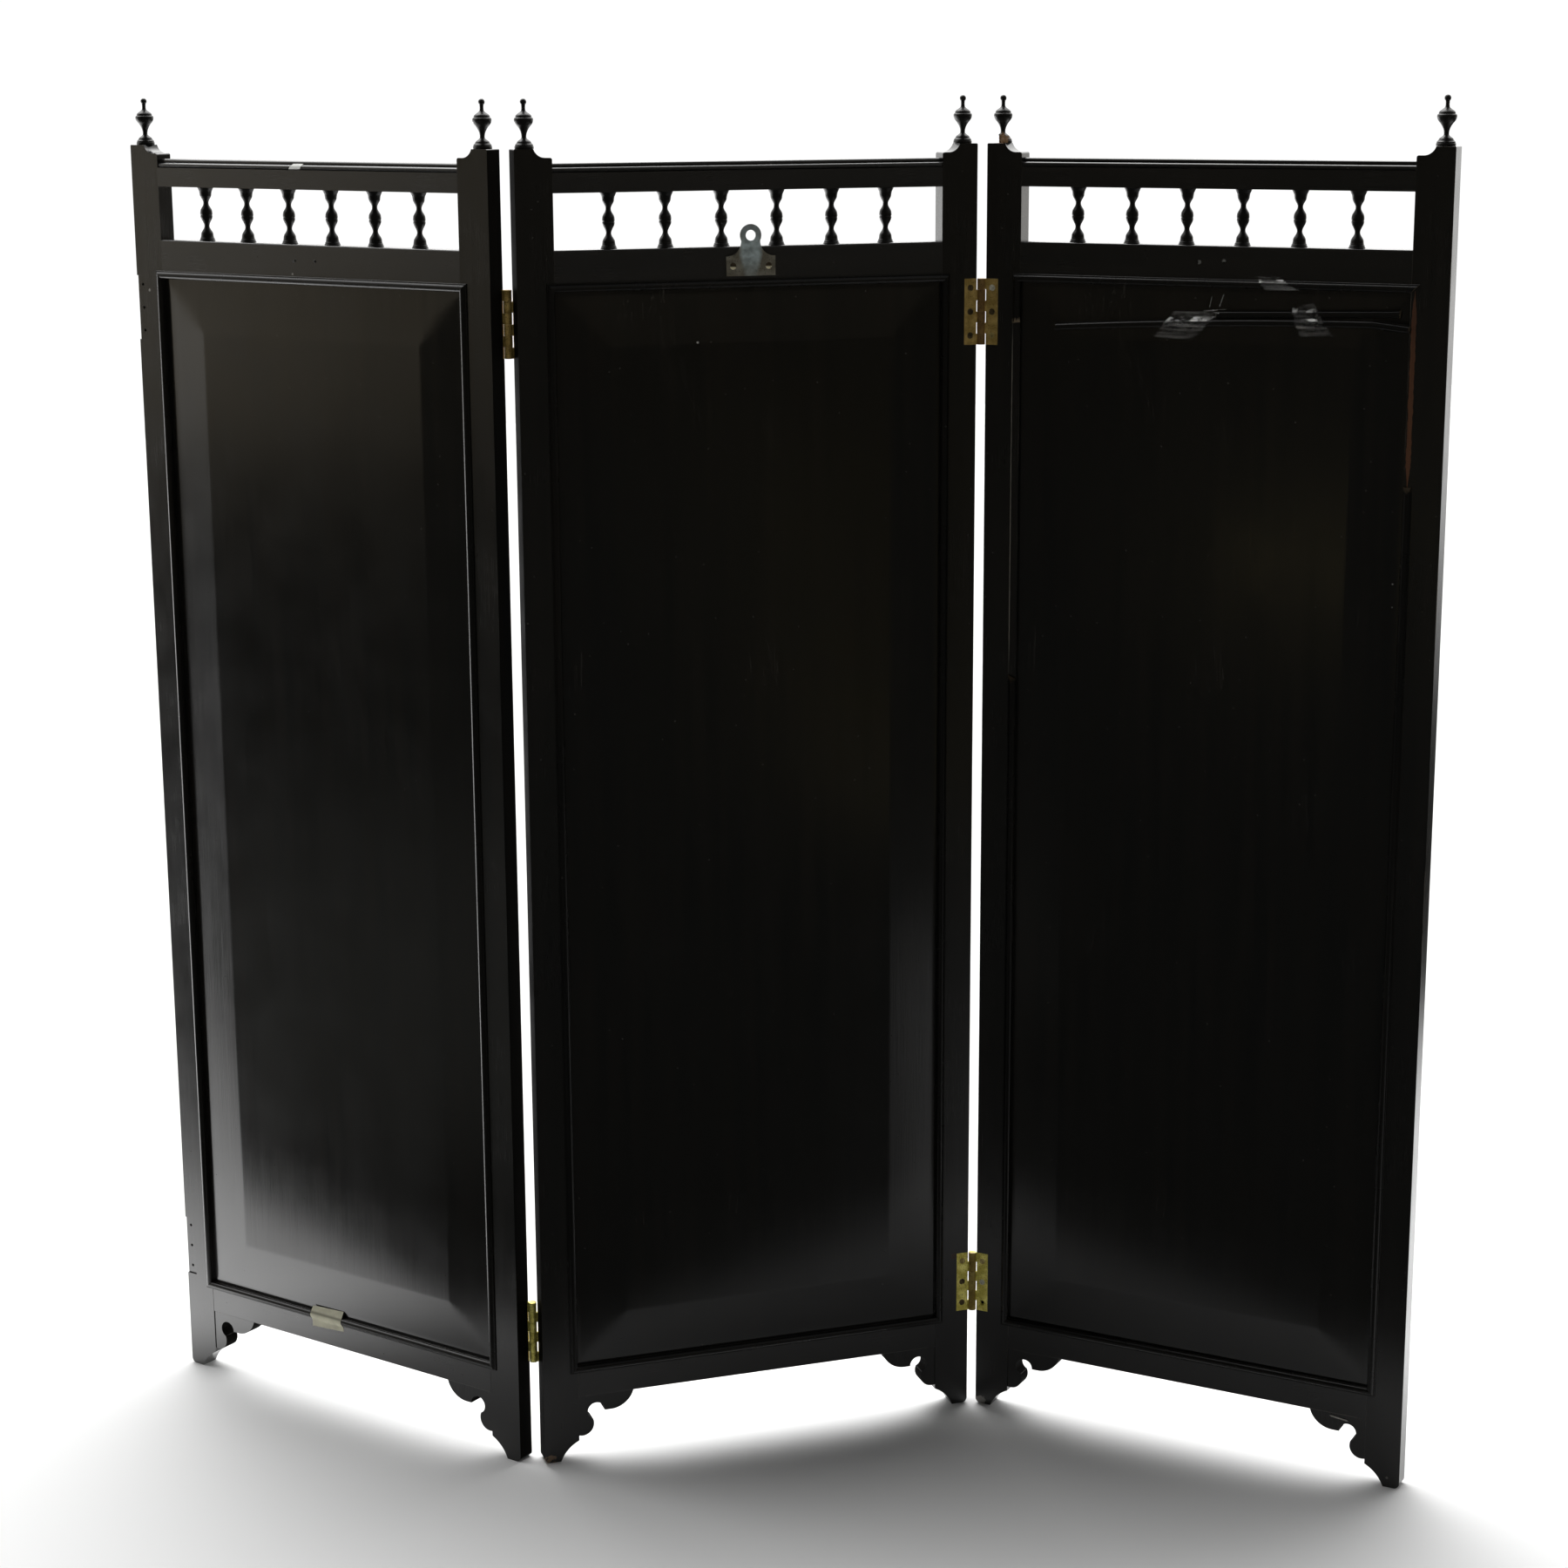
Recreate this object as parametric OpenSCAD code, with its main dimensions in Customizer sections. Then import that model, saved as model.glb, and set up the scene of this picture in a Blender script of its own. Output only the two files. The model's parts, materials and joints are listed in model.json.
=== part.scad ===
// Three-leaf ebonised folding screen with bevelled mirror plates, millimetres.
// Each leaf is drawn flat: X along its width, Y from the shown face into the wood,
// Z up. The centre leaf keeps that direction, and the outer leaves turn on the pins.

/* [Leaf] */
// Width of one leaf
leaf_w = 545; // [510:5:620]
// Height of the stiles, without the finials
leaf_h = 1550; // [1420:5:1680]
// Thickness of the frame
leaf_t = 22; // [21:0.5:26]
// Width of a stile
stile_w = 43; // [40:0.5:50]

/* [Stile head and foot] */
// Width left at full height, under the finial
head_w = 22; // [21:0.5:24]
// How far the shoulder lies below the top of the stile
shoulder_drop = 9.6; // [8:0.2:13]
// Radius of the cove between head and shoulder
cove_r = 14; // [13:0.5:16]
// Radius of the round at the shoulder's inner corner
shoulder_round = 2.5; // [1:0.5:4]
// Width of the foot where it stands
foot_w = 20; // [16:0.5:24]
// Height at which the foot has the stile's full width
foot_h = 24; // [20:0.5:28]
// Radius of the hollow side of the foot
foot_hollow_r = 43.5; // [38:0.5:60]
// Radius of the foot's outer corner
foot_round = 7; // [3:0.5:9]
// Radius of the round at the head's outer corner
head_round = 1.5; // [0.5:0.25:3]

/* [Rails] */
// Clear height under the bottom rail
apron_z = 80; // [72:1:92]
// Height of the bottom rail
bottom_rail_h = 40.5; // [34:0.5:52]
// Height of the mid rail
mid_rail_h = 46; // [38:0.5:56]
// Clear height of the gallery
gallery_h = 62; // [56:1:70]
// Height of the top rail's face
top_rail_h = 22; // [19:0.5:26]
// How far the top rail's face lies below the top of the stile
top_rail_drop = 26; // [24:0.5:32]
// Thickness of a tenon
tenon_t = 7; // [5:0.5:8]
// Length of a tenon
tenon_len = 28; // [20:1:32]
// Play of a tenon in its mortise
tenon_play = 0.1; // [0.05:0.05:0.3]
// Radius of the rounds along the mid rail's upper edges
rail_round = 2; // [0.5:0.25:3]
// Distance between the two old screw holes in each outer mid rail
old_hole_pitch = 31; // [24:1:40]
// Distance from the mid rail's top down to the old screw holes
old_hole_drop = 18.5; // [12:0.5:26]
// Radius of the old screw holes
old_hole_r = 1.3; // [1:0.1:1.8]

/* [Capping] */
// Radius of the two reeds on each side of the capping
reed_r = 2.8; // [2.2:0.1:3.1]
// Width of the flat left in front of a reed
reed_step = 1; // [0.6:0.1:1.4]
// Height of the upper reed above the lower one
reed_rise = 4.6; // [4:0.1:5.2]

/* [Spindles and finials] */
// Number of spindles in a gallery
spindle_count = 6; // [4:1:8]
// Radius of a spindle's flared ends
spindle_r = 9.2; // [8.5:0.1:10.5]
// Radius of a finial's bowl
finial_r = 10.6; // [10:0.1:11]
// Radius of the ball on a finial
finial_ball_r = 3.6; // [3:0.1:4.5]
// Height of a finial above the stile
finial_h = 54; // [50:1:60]
// Distance from the leaf's edge to a finial's centre
finial_x = 14.5; // [12:0.5:16]
// Diameter of the round pegs on spindles and finials
peg_d = 7; // [5:0.5:8]
// Length of a peg on a spindle
spindle_peg = 8; // [5:0.5:10]
// Length of a peg on a finial
finial_peg = 14; // [10:1:20]

/* [Foot brackets] */
// Thickness of a bracket
bracket_t = 20; // [16:0.5:21]
// Reach of a bracket along the bottom rail
bracket_reach = 70; // [60:1:80]
// Radius of the lower lobe
lobe_r = 14.5; // [12:0.5:16]
// Radius of the upper lobe
sweep_r = 29.5; // [26:0.5:34]
// Radius of the bite between the lobes
bite_r = 10.5; // [9:0.5:12]
// Distance of the lower lobe's centre from the stile
lobe_out = 4.5; // [3:0.5:6]
// Height of the lower lobe's centre above the hollow of the foot
lobe_up = 19.5; // [18:0.5:21]
// Distance of the bite's centre from the stile
bite_out = 22; // [20:0.5:24]
// Distance from the rail down to the bite's centre
bite_drop = 21; // [19:0.5:23]
// Height of the upper lobe's centre above the rail's lower edge
sweep_up = 8; // [6:0.5:10]

/* [Panel, mirror and beads] */
// Thickness of the lip in front of the panel
lip_t = 4; // [3:0.5:5]
// Width of the rebate behind the lip
rebate_w = 8; // [6:0.5:10]
// Width of the panel's flat margin inside the opening
margin_w = 5; // [2:0.5:8]
// Width of the panel's bevel
bevel_w = 57; // [46:1:68]
// Distance from the shown face down to the raised field
field_drop = 0.5; // [0.2:0.1:1.5]
// Thickness of the panel at its edge
panel_edge_t = 6; // [5:0.5:7]
// Play of the panel and the mirror in the rebate
panel_play = 0.5; // [0.3:0.1:1]
// Thickness of the mirror plate
mirror_t = 4; // [3:0.5:5]
// Gap between the panel and the mirror plate
mirror_gap = 0.2; // [0.1:0.1:0.5]
// How much smaller the mirror plate is than the panel, on each side
mirror_inset = 0.5; // [0:0.25:1.5]
// Width of the mirror's own bevel
mirror_bevel_w = 22; // [15:1:26]
// Depth of the mirror's own bevel
mirror_bevel_d = 1.6; // [1:0.1:2]
// Width of the planted bead on the shown face
bead_w = 9.5; // [8:0.5:10]
// Radius of the bead's nose, which is its height
bead_r = 4.25; // [3:0.25:4.5]
// Height of the bead's outer fillet
fillet_h = 1.5; // [1:0.1:2]
// Gap left in a mitre, and between a bead and its rebate
mitre_gap = 0.1; // [0.05:0.05:0.3]
// How far the bead on the mirror stands past the rebate
mirror_bead_over = 2; // [1:0.5:4]
// Width of the flat that the mirror's bead has at the glass
ovolo_flat = 1.2; // [0.8:0.1:2]
// Length broken off the top of the right leaf's right strip, up to its mitre
short_break = 212; // [100:2:400]
// Length broken out of the right leaf's left strip
long_break = 418; // [100:2:430]
// Height of the lower end of that break
long_break_z = 931; // [600:1:950]
// Tilt of the two broken lengths as they lie on the panel
loose_tilt = 1.8; // [0:0.1:3]
// Distance from the opening's top down to the long one's upper left corner
loose_drop = 43; // [36:1:60]
// How far the long one reaches over the right stile
loose_over = 2; // [1:0.5:5]
// Distance of the short one's right end from the right stile
short_inset = 10; // [4:1:60]
// Gap between the two lengths
loose_gap = 2.5; // [1:0.5:6]
// Play between a loose length and what it lies on
loose_play = 0.15; // [0.1:0.05:0.4]

/* [Hinges] */
// Length of a hinge
hinge_len = 76; // [64:1:90]
// Thickness of a hinge flap
flap_t = 2; // [1.5:0.1:2.4]
// Width of a flap on the wood
flap_w = 15; // [13:0.5:18]
// Radius of the knuckles
knuckle_r = 4.8; // [4.2:0.1:5]
// Number of knuckles in a hinge
knuckles = 6; // [4:2:8]
// Gap between two knuckles
knuckle_gap = 0.3; // [0.2:0.05:0.4]
// Radius of the pin
pin_r = 2.4; // [2:0.1:2.8]
// Running clearance of the pin in the knuckles that turn
pin_play = 0.06; // [0.03:0.01:0.09]
// Clearance of the pin in the knuckles that hold it
pin_fit = 0.01; // [0.01:0.005:0.02]
// Distance from a leaf's edge to the pin's centre
pin_out = 5.6; // [5.3:0.1:6.5]
// Distance from the leaf's face out to the pin's centre
pin_proud = 0.8; // [0.5:0.1:1.5]
// Height of the lower hinges' bottom end
lower_hinge_z = 124; // [118:1:200]
// Distance from the top of the stiles down to the upper hinges
upper_hinge_drop = 153; // [148:1:260]
// Fold of the left leaf from straight, as it stands
left_angle = 52.5; // [0:0.5:80]
// Fold of the right leaf from straight, as it stands
right_angle = 46; // [0:0.5:80]

/* [Screws] */
// Radius of a screw's shank
screw_r = 1.75; // [1.5:0.05:2]
// Radius of a screw's head
screw_head_r = 3.8; // [3.4:0.1:4.2]
// Length of a screw
screw_len = 15; // [12:0.5:17]
// Play of a screw in its pilot hole
screw_play = 0.05; // [0.03:0.01:0.1]
// Length of a screw's point
screw_point = 4; // [2:0.5:6]
// Width of the slot in a screw's head
slot_w = 0.9; // [0.6:0.1:1.2]
// Depth of the slot in a screw's head
slot_d = 0.8; // [0.5:0.1:1.2]

/* [Hanger plate] */
// Width of the plate's base
hanger_w = 58; // [50:1:66]
// Height of the plate's base
hanger_h = 22; // [18:1:26]
// Width of the tongue between base and eye
tongue_w = 22; // [18:0.5:24]
// Thickness of the plate
hanger_t = 1.8; // [1.5:0.1:2.5]
// Radius of the eye's hole
eye_r = 6; // [5:0.25:7]
// Radius of the eye
eye_rim_r = 12.5; // [10:0.5:14]
// Height of the eye's centre above the mid rail
eye_rise = 12; // [8:0.5:15]
// Distance from the mid rail's top down to the base's middle
hanger_drop = 22; // [18:0.5:24]
// How far the plate stands left of the leaf's middle
hanger_shift = 2; // [-10:0.5:10]
// Distance between the plate's two screws
hanger_pitch = 42; // [36:1:46]
// Width of the flat at each end of the base's upper edge
hanger_flat = 1; // [0.5:0.25:2]

/* [Hidden] */

$fn = 64;
black = [0.07, 0.07, 0.06];
black_panel = [0.10, 0.10, 0.09];
glass = [0.72, 0.76, 0.78];
brass = [0.72, 0.60, 0.30];
steel = [0.45, 0.47, 0.50];
// Overlap of a cutter past the face that it cuts
eps = 0.5;

// Heights, worked out from the foot and from the top
panel_z0 = apron_z + bottom_rail_h;
top_rail_z1 = leaf_h - top_rail_drop;
top_rail_z0 = top_rail_z1 - top_rail_h;
mid_rail_z1 = top_rail_z0 - gallery_h;
panel_z1 = mid_rail_z1 - mid_rail_h;
shoulder_z = leaf_h - shoulder_drop;
open_w = leaf_w - 2 * stile_w;
upper_hinge_z = leaf_h - upper_hinge_drop - hinge_len;

// Cove of the shoulder: it leaves the head at its corner and ends level
cove_z = shoulder_z + cove_r;
cove_x = head_w + sqrt(cove_r * cove_r - pow(cove_z - leaf_h, 2));

// Hollow of the foot: a circle through the foot's toe and the stile's inner edge
toe = [foot_w, 0];
spring_pt = [stile_w, foot_h];
chord = spring_pt - toe;
chord_len = norm(chord);
hollow_rise = sqrt(pow(foot_hollow_r, 2) - pow(chord_len / 2, 2));
hollow_c = (toe + spring_pt) / 2 + hollow_rise * [chord.y, -chord.x] / chord_len;

// Panel and mirror, as placed in the rebate
panel_x0 = stile_w - rebate_w + panel_play;
panel_bottom = panel_z0 - rebate_w + panel_play;
panel_w = leaf_w - 2 * panel_x0;
panel_h = panel_z1 + rebate_w - panel_play - panel_bottom;
panel_back = lip_t + panel_edge_t;
mirror_y = panel_back + mirror_gap;
mirror_bead_y = mirror_y + mirror_t + mitre_gap;

// Tenon in the middle of the rail behind the rebate
tenon_y = (leaf_t - tenon_t) / 2;
tenon_shoulder = 3;

// Screws in a flap, as shares of its length
screw_rows = [0.14, 0.5, 0.86];
screw_x = flap_w / 2;

// Pins, in the centre leaf's own place
left_pin = [-pin_out, leaf_t + pin_proud];
right_pin = [leaf_w + pin_out, -pin_proud];

// The four outermost corners of the turned leaves give the box on the floor
function turn(p, a) = [p.x * cos(a) + p.y * sin(a), p.y * cos(a) - p.x * sin(a)];
left_corners = [for (p = [[0, 0], [0, leaf_t]])
  left_pin + turn(p - [leaf_w + pin_out, leaf_t + pin_proud], left_angle)];
right_corners = [for (p = [[leaf_w, 0], [leaf_w, leaf_t]])
  right_pin + turn(p + [pin_out, pin_proud], right_angle)];
corners = concat(left_corners, right_corners, [[0, 0], [leaf_w, leaf_t]]);
xs = [for (c = corners) c.x];
ys = [for (c = corners) c.y];
middle = [(min(xs) + max(xs)) / 2, (min(ys) + max(ys)) / 2];

echo(left_pin_at = left_pin - middle, right_pin_at = right_pin - middle);
echo(box = [max(xs) - min(xs), max(ys) - min(ys), leaf_h + finial_h]);
echo(centre_leaf_at = -middle, mid_rail_top = mid_rail_z1, panel_z = [panel_z0, panel_z1]);

// Points of turned curves from one [radius, height] to the next, without the last:
// an ogee is steep at both ends, the others are steep at one end and flat at the other
function ogee(a, b, n) = [for (i = [0 : n - 1])
  [a.x + (b.x - a.x) * (1 - cos(180 * i / n)) / 2, a.y + (b.y - a.y) * i / n]];
function steep_to_flat(a, b, n) = [for (i = [0 : n - 1])
  [a.x + (b.x - a.x) * (1 - cos(90 * i / n)), a.y + (b.y - a.y) * sin(90 * i / n)]];
function flat_to_steep(a, b, n) = [for (i = [0 : n - 1])
  [a.x + (b.x - a.x) * sin(90 * i / n), a.y + (b.y - a.y) * (1 - cos(90 * i / n))]];
// These two are parabolas: one starts along the axis and flares, the other flares and
// ends along the axis
function flared(a, b, n) = [for (i = [0 : n - 1])
  [a.x + (b.x - a.x) * pow(i / n, 2), a.y + (b.y - a.y) * i / n]];
function bowled(a, b, n) = [for (i = [0 : n - 1])
  [b.x + (a.x - b.x) * pow(1 - i / n, 2), a.y + (b.y - a.y) * i / n]];
// Points given as shares of a radius and a height, at their real size
function sized(points, r, h) = [for (p = points) [p.x * r, p.y * h]];

module turned(points) {
  low = points[0].y;
  high = points[len(points) - 1].y;
  rotate_extrude() polygon(concat([[0, low]], points, [[0, high]]));
}

// Placing of the leaves
module centre_leaf() {
  translate([-middle.x, -middle.y, 0]) children();
}

module left_leaf() {
  translate([left_pin.x - middle.x, left_pin.y - middle.y, 0])
    rotate([0, 0, -left_angle])
      translate([-leaf_w - pin_out, -leaf_t - pin_proud, 0]) children();
}

module right_leaf() {
  translate([right_pin.x - middle.x, right_pin.y - middle.y, 0])
    rotate([0, 0, -right_angle])
      translate([pin_out, pin_proud, 0]) children();
}

module other_side() {
  translate([leaf_w, 0, 0]) mirror([1, 0, 0]) children();
}

// Stands a drawing of the leaf's front up and gives it a thickness from y on
module board(y, t) {
  translate([0, y + t, 0]) rotate([90, 0, 0]) linear_extrude(t) children();
}

// What a round of radius r takes off a corner at the origin
module corner_cut(r) {
  difference() {
    translate([-eps, -eps]) square(r + eps);
    translate([r, r]) circle(r);
  }
}

// Stile
module stile_outline() {
  difference() {
    union() {
      square([stile_w, shoulder_z]);
      difference() {
        square([cove_x, leaf_h]);
        translate([cove_x, cove_z]) circle(cove_r);
      }
    }
    translate(hollow_c) circle(foot_hollow_r);
    corner_cut(foot_round);
    translate([stile_w, shoulder_z]) rotate(180) corner_cut(shoulder_round);
    translate([0, leaf_h]) rotate(-90) corner_cut(head_round);
  }
}

module mortise(z0, z1) {
  translate([stile_w - tenon_len - 1, tenon_y - tenon_play, z0 + tenon_shoulder - tenon_play])
    cube([tenon_len + 1 + eps, tenon_t + 2 * tenon_play,
      z1 - z0 - 2 * tenon_shoulder + 2 * tenon_play]);
}

module stile_rebate() {
  translate([stile_w - rebate_w, lip_t, panel_z0 - rebate_w])
    cube([rebate_w + eps, leaf_t - lip_t + eps, panel_z1 - panel_z0 + 2 * rebate_w]);
}

// Housing of one hinge flap, with its three pilot holes, on the shown face
module flap_housing(z) {
  translate([-eps, -eps, z]) cube([flap_w + eps, flap_t + eps, hinge_len]);
  for (k = screw_rows)
    translate([screw_x, 0, z + k * hinge_len]) rotate([-90, 0, 0])
      cylinder(h = screw_len + 1, r = screw_r + screw_play);
}

module on_face(face) {
  if (face == "shown") children();
  if (face == "mirror") translate([0, leaf_t, 0]) mirror([0, 1, 0]) children();
}

module stile(hinge_face) {
  color(black) difference() {
    board(0, leaf_t) stile_outline();
    stile_rebate();
    mortise(apron_z, panel_z0 - rebate_w);
    mortise(panel_z1 + rebate_w, mid_rail_z1);
    mortise(top_rail_z0, top_rail_z1);
    translate([finial_x, leaf_t / 2, leaf_h - finial_peg - 1])
      cylinder(h = finial_peg + 1 + eps, d = peg_d + 2 * tenon_play);
    on_face(hinge_face) {
      flap_housing(lower_hinge_z);
      flap_housing(upper_hinge_z);
    }
  }
}

// Rails
module tenons(z0, z1) {
  for (side = [0, 1])
    translate([side == 0 ? stile_w - tenon_len : leaf_w - stile_w - eps,
      tenon_y, z0 + tenon_shoulder])
      cube([tenon_len + eps, tenon_t, z1 - z0 - 2 * tenon_shoulder]);
}

function spindle_x(i) = stile_w + open_w * i / (spindle_count + 1);

module spindle_holes(z, depth) {
  for (i = [1 : spindle_count])
    translate([spindle_x(i), leaf_t / 2, z]) cylinder(h = depth, d = peg_d + 2 * tenon_play);
}

// Section of the top rail: a face, and two reeds a side that step up to the middle
module capping_section() {
  low_y = reed_step + reed_r;
  high_y = low_y + reed_rise;
  low_z = top_rail_z1 + reed_r;
  high_z = low_z + reed_rise;
  translate([0, top_rail_z0]) square([leaf_t, top_rail_h]);
  for (y = [low_y, leaf_t - low_y]) translate([y, low_z]) circle(reed_r);
  translate([low_y, top_rail_z1]) square([leaf_t - 2 * low_y, 2 * reed_r]);
  for (y = [high_y, leaf_t - high_y]) translate([y, high_z]) circle(reed_r);
  translate([high_y, low_z]) square([leaf_t - 2 * high_y, reed_rise + reed_r]);
}

module top_rail() {
  color(black) difference() {
    union() {
      translate([stile_w, 0, 0]) rotate([90, 0, 90])
        linear_extrude(open_w) capping_section();
      tenons(top_rail_z0, top_rail_z1);
    }
    spindle_holes(top_rail_z0 - eps, spindle_peg + 1 + eps);
  }
}

// Section of the mid rail: its two upper edges are rounded like a bead
module mid_rail_section() {
  difference() {
    translate([0, panel_z1]) square([leaf_t, mid_rail_h]);
    translate([lip_t, panel_z1 - eps]) square([leaf_t, rebate_w + eps]);
    translate([0, mid_rail_z1]) rotate(-90) corner_cut(rail_round);
    translate([leaf_t, mid_rail_z1]) rotate(180) corner_cut(rail_round);
  }
}

module mid_rail() {
  color(black) difference() {
    union() {
      translate([stile_w, 0, 0]) rotate([90, 0, 90])
        linear_extrude(open_w) mid_rail_section();
      tenons(panel_z1 + rebate_w, mid_rail_z1);
    }
    spindle_holes(mid_rail_z1 - spindle_peg - 1, spindle_peg + 1 + eps);
  }
}

module hanger_pilots() {
  hanger_screw_places() rotate([-90, 0, 0])
    cylinder(h = screw_len + 1, r = screw_r + screw_play);
}

// Outer leaves: two holes left by the plate that each has lost
module old_screw_holes() {
  for (side = [-1, 1])
    translate([leaf_w / 2 + side * old_hole_pitch / 2, -eps, mid_rail_z1 - old_hole_drop])
      rotate([-90, 0, 0]) cylinder(h = screw_len, r = old_hole_r);
}

module outer_mid_rail() {
  color(black) difference() {
    mid_rail();
    old_screw_holes();
  }
}

module bottom_rail() {
  color(black) union() {
    translate([stile_w, 0, 0]) rotate([90, 0, 90]) linear_extrude(open_w)
      difference() {
        translate([0, apron_z]) square([leaf_t, bottom_rail_h]);
        translate([lip_t, panel_z0 - rebate_w]) square([leaf_t, rebate_w + eps]);
      }
    tenons(apron_z, panel_z0 - rebate_w);
  }
}

// Scroll-cut bracket in the corner of stile and bottom rail: a round lower lobe,
// a bite with a horn, and an upper lobe that sweeps up to the rail
module bracket_outline() {
  lobe_c = [stile_w + lobe_out, foot_h + lobe_up];
  bite_c = [stile_w + bite_out, apron_z - bite_drop];
  sweep_c = [stile_w + bracket_reach - sweep_r, apron_z + sweep_up];
  horn_z = sweep_c.y - sweep_r;
  intersection() {
    translate([stile_w, foot_h]) square([bracket_reach, apron_z - foot_h]);
    difference() {
      union() {
        translate(lobe_c) circle(lobe_r);
        translate(sweep_c) circle(sweep_r);
        polygon([
          [stile_w, lobe_c.y - lobe_r], lobe_c, [bite_c.x, horn_z],
          [sweep_c.x, horn_z], [sweep_c.x, apron_z], [stile_w, apron_z]
        ]);
      }
      translate(bite_c) circle(bite_r);
    }
  }
}

module bracket() {
  color(black) board((leaf_t - bracket_t) / 2, bracket_t) bracket_outline();
}

// Turned spindle: a ringed urn, a waist, a belly with a groove round it, and a second
// waist that flares into the rail, in shares of its radius and height
spindle_profile = concat(
  [[1, 0], [1, 0.012], [0.92, 0.028], [0.91, 0.046], [0.83, 0.06], [0.81, 0.086]],
  ogee([0.77, 0.12], [0.32, 0.275], 5),
  ogee([0.32, 0.275], [0.76, 0.465], 6),
  [[0.76, 0.465], [0.72, 0.482], [0.765, 0.498], [0.765, 0.528]],
  ogee([0.745, 0.548], [0.325, 0.7], 5),
  ogee([0.325, 0.71], [0.73, 0.868], 5),
  [[0.73, 0.868], [0.785, 0.92], [0.85, 0.942], [0.92, 0.966], [1, 0.988], [1, 1]]
);

// Turned finial below its ball: a disc, a swept foot, a neck, a bowl with a grooved
// rim, a domed lid and a stem
finial_profile = concat(
  [[0.97, 0], [1, 0.012], [1, 0.045], [0.955, 0.06], [0.94, 0.086]],
  [[0.86, 0.098], [0.78, 0.118]],
  ogee([0.75, 0.125], [0.255, 0.23], 5),
  flared([0.255, 0.24], [0.67, 0.45], 4),
  bowled([0.67, 0.45], [1, 0.58], 4),
  [[1, 0.58], [0.985, 0.603], [0.915, 0.62], [0.84, 0.628], [0.84, 0.642]],
  ogee([0.84, 0.645], [0.215, 0.775], 6),
  [[0.215, 0.775], [0.2, 0.8], [0.2, 0.84], [0.215, 0.87]]
);
finial_ball = [for (a = [-50 : 20 : 70])
  [finial_ball_r * cos(a), finial_h - finial_ball_r * (1 - sin(a))]];

module spindles() {
  color(black) for (i = [1 : spindle_count])
    translate([spindle_x(i), leaf_t / 2, mid_rail_z1]) {
      turned(sized(spindle_profile, spindle_r, gallery_h));
      for (z = [-spindle_peg, gallery_h - eps])
        translate([0, 0, z]) cylinder(h = spindle_peg + eps, d = peg_d);
    }
}

module finial() {
  color(black) translate([finial_x, leaf_t / 2, leaf_h]) {
    turned(concat(sized(finial_profile, finial_r, finial_h), finial_ball, [[0.6, finial_h]]));
    translate([0, 0, -finial_peg]) cylinder(h = finial_peg + eps, d = peg_d);
  }
}

// Turns a cutter made for the left edge to all four edges of a w by h plate
module four_edges(w, h) {
  children(0);
  translate([w, 0, 0]) mirror([1, 0, 0]) children(0);
  rotate([0, 90, 0]) mirror([1, 0, 0]) children(1);
  translate([0, 0, h]) rotate([0, 90, 0]) children(1);
}

module back_panel() {
  w = panel_w;
  h = panel_h;
  color(black_panel) translate([panel_x0, 0, panel_bottom]) difference() {
    translate([0, field_drop, 0]) cube([w, panel_back - field_drop, h]);
    four_edges(w, h) {
      panel_wedge(h);
      panel_wedge(w);
    }
  }
}

// Cutter of the panel's edge: flat over tongue and margin, then rising to the field
module panel_wedge(length) {
  foot = rebate_w - panel_play + margin_w;
  head = foot + bevel_w;
  translate([0, 0, -eps]) linear_extrude(length + 2 * eps) polygon([
    [-eps, -eps], [head, -eps], [head, field_drop], [foot, lip_t], [-eps, lip_t]
  ]);
}

module mirror_plate() {
  w = panel_w - 2 * mirror_inset;
  h = panel_h - 2 * mirror_inset;
  color(glass) translate([panel_x0 + mirror_inset, mirror_y, panel_bottom + mirror_inset])
    difference() {
      cube([w, mirror_t, h]);
      four_edges(w, h) {
        plate_wedge(h);
        plate_wedge(w);
      }
    }
}

module plate_wedge(length) {
  translate([0, mirror_t, -eps]) linear_extrude(length + 2 * eps) polygon([
    [mirror_bevel_w, 0], [mirror_bevel_w, eps], [-eps, eps], [-eps, -mirror_bevel_d],
    [0, -mirror_bevel_d]
  ]);
}

// One mitred strip of a frame: the section stands in X and Y with x = 0 on the
// outside of the frame, and the ends are cut back at 45 degrees by half the gap
module mitred_strip(length, reach, high_mitre = true) {
  difference() {
    linear_extrude(length) children();
    rotate([0, -45, 0]) translate([-reach, -reach, mitre_gap / 2 - 2 * reach])
      cube([4 * reach, 3 * reach, 2 * reach]);
    if (high_mitre) translate([0, 0, length]) rotate([0, 45, 0])
      translate([-reach, -reach, -mitre_gap / 2]) cube([4 * reach, 3 * reach, 2 * reach]);
  }
}

// Section of the planted bead: a low fillet on the outside and a round nose
module bead_section() {
  square_w = bead_w - 2 * bead_r;
  translate([0, -fillet_h]) square([square_w + bead_r, fillet_h]);
  intersection() {
    translate([bead_w - bead_r, 0]) circle(bead_r);
    translate([0, -2 * bead_r]) square([2 * bead_w, 2 * bead_r]);
  }
}

// Four strips round an opening, from the outer corner at the origin: the right one
// may stop short of the top, where a length is lost
module mitred_frame(w, h, reach, lost = 0) {
  mitred_strip(h, reach) children();
  translate([w, 0, 0]) mirror([1, 0, 0]) mitred_strip(h - lost, reach, lost == 0) children();
  rotate([0, 90, 0]) mirror([1, 0, 0]) mitred_strip(w, reach) children();
  translate([0, 0, h]) rotate([0, 90, 0]) mitred_strip(w, reach) children();
}

module panel_bead(lost = 0) {
  x0 = stile_w - bead_w;
  z0 = panel_z0 - bead_w;
  w = leaf_w - 2 * x0;
  h = panel_z1 + bead_w - z0;
  color(black) translate([x0, 0, z0])
    mitred_frame(w, h, bead_w + bead_r, lost) bead_section();
}

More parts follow.
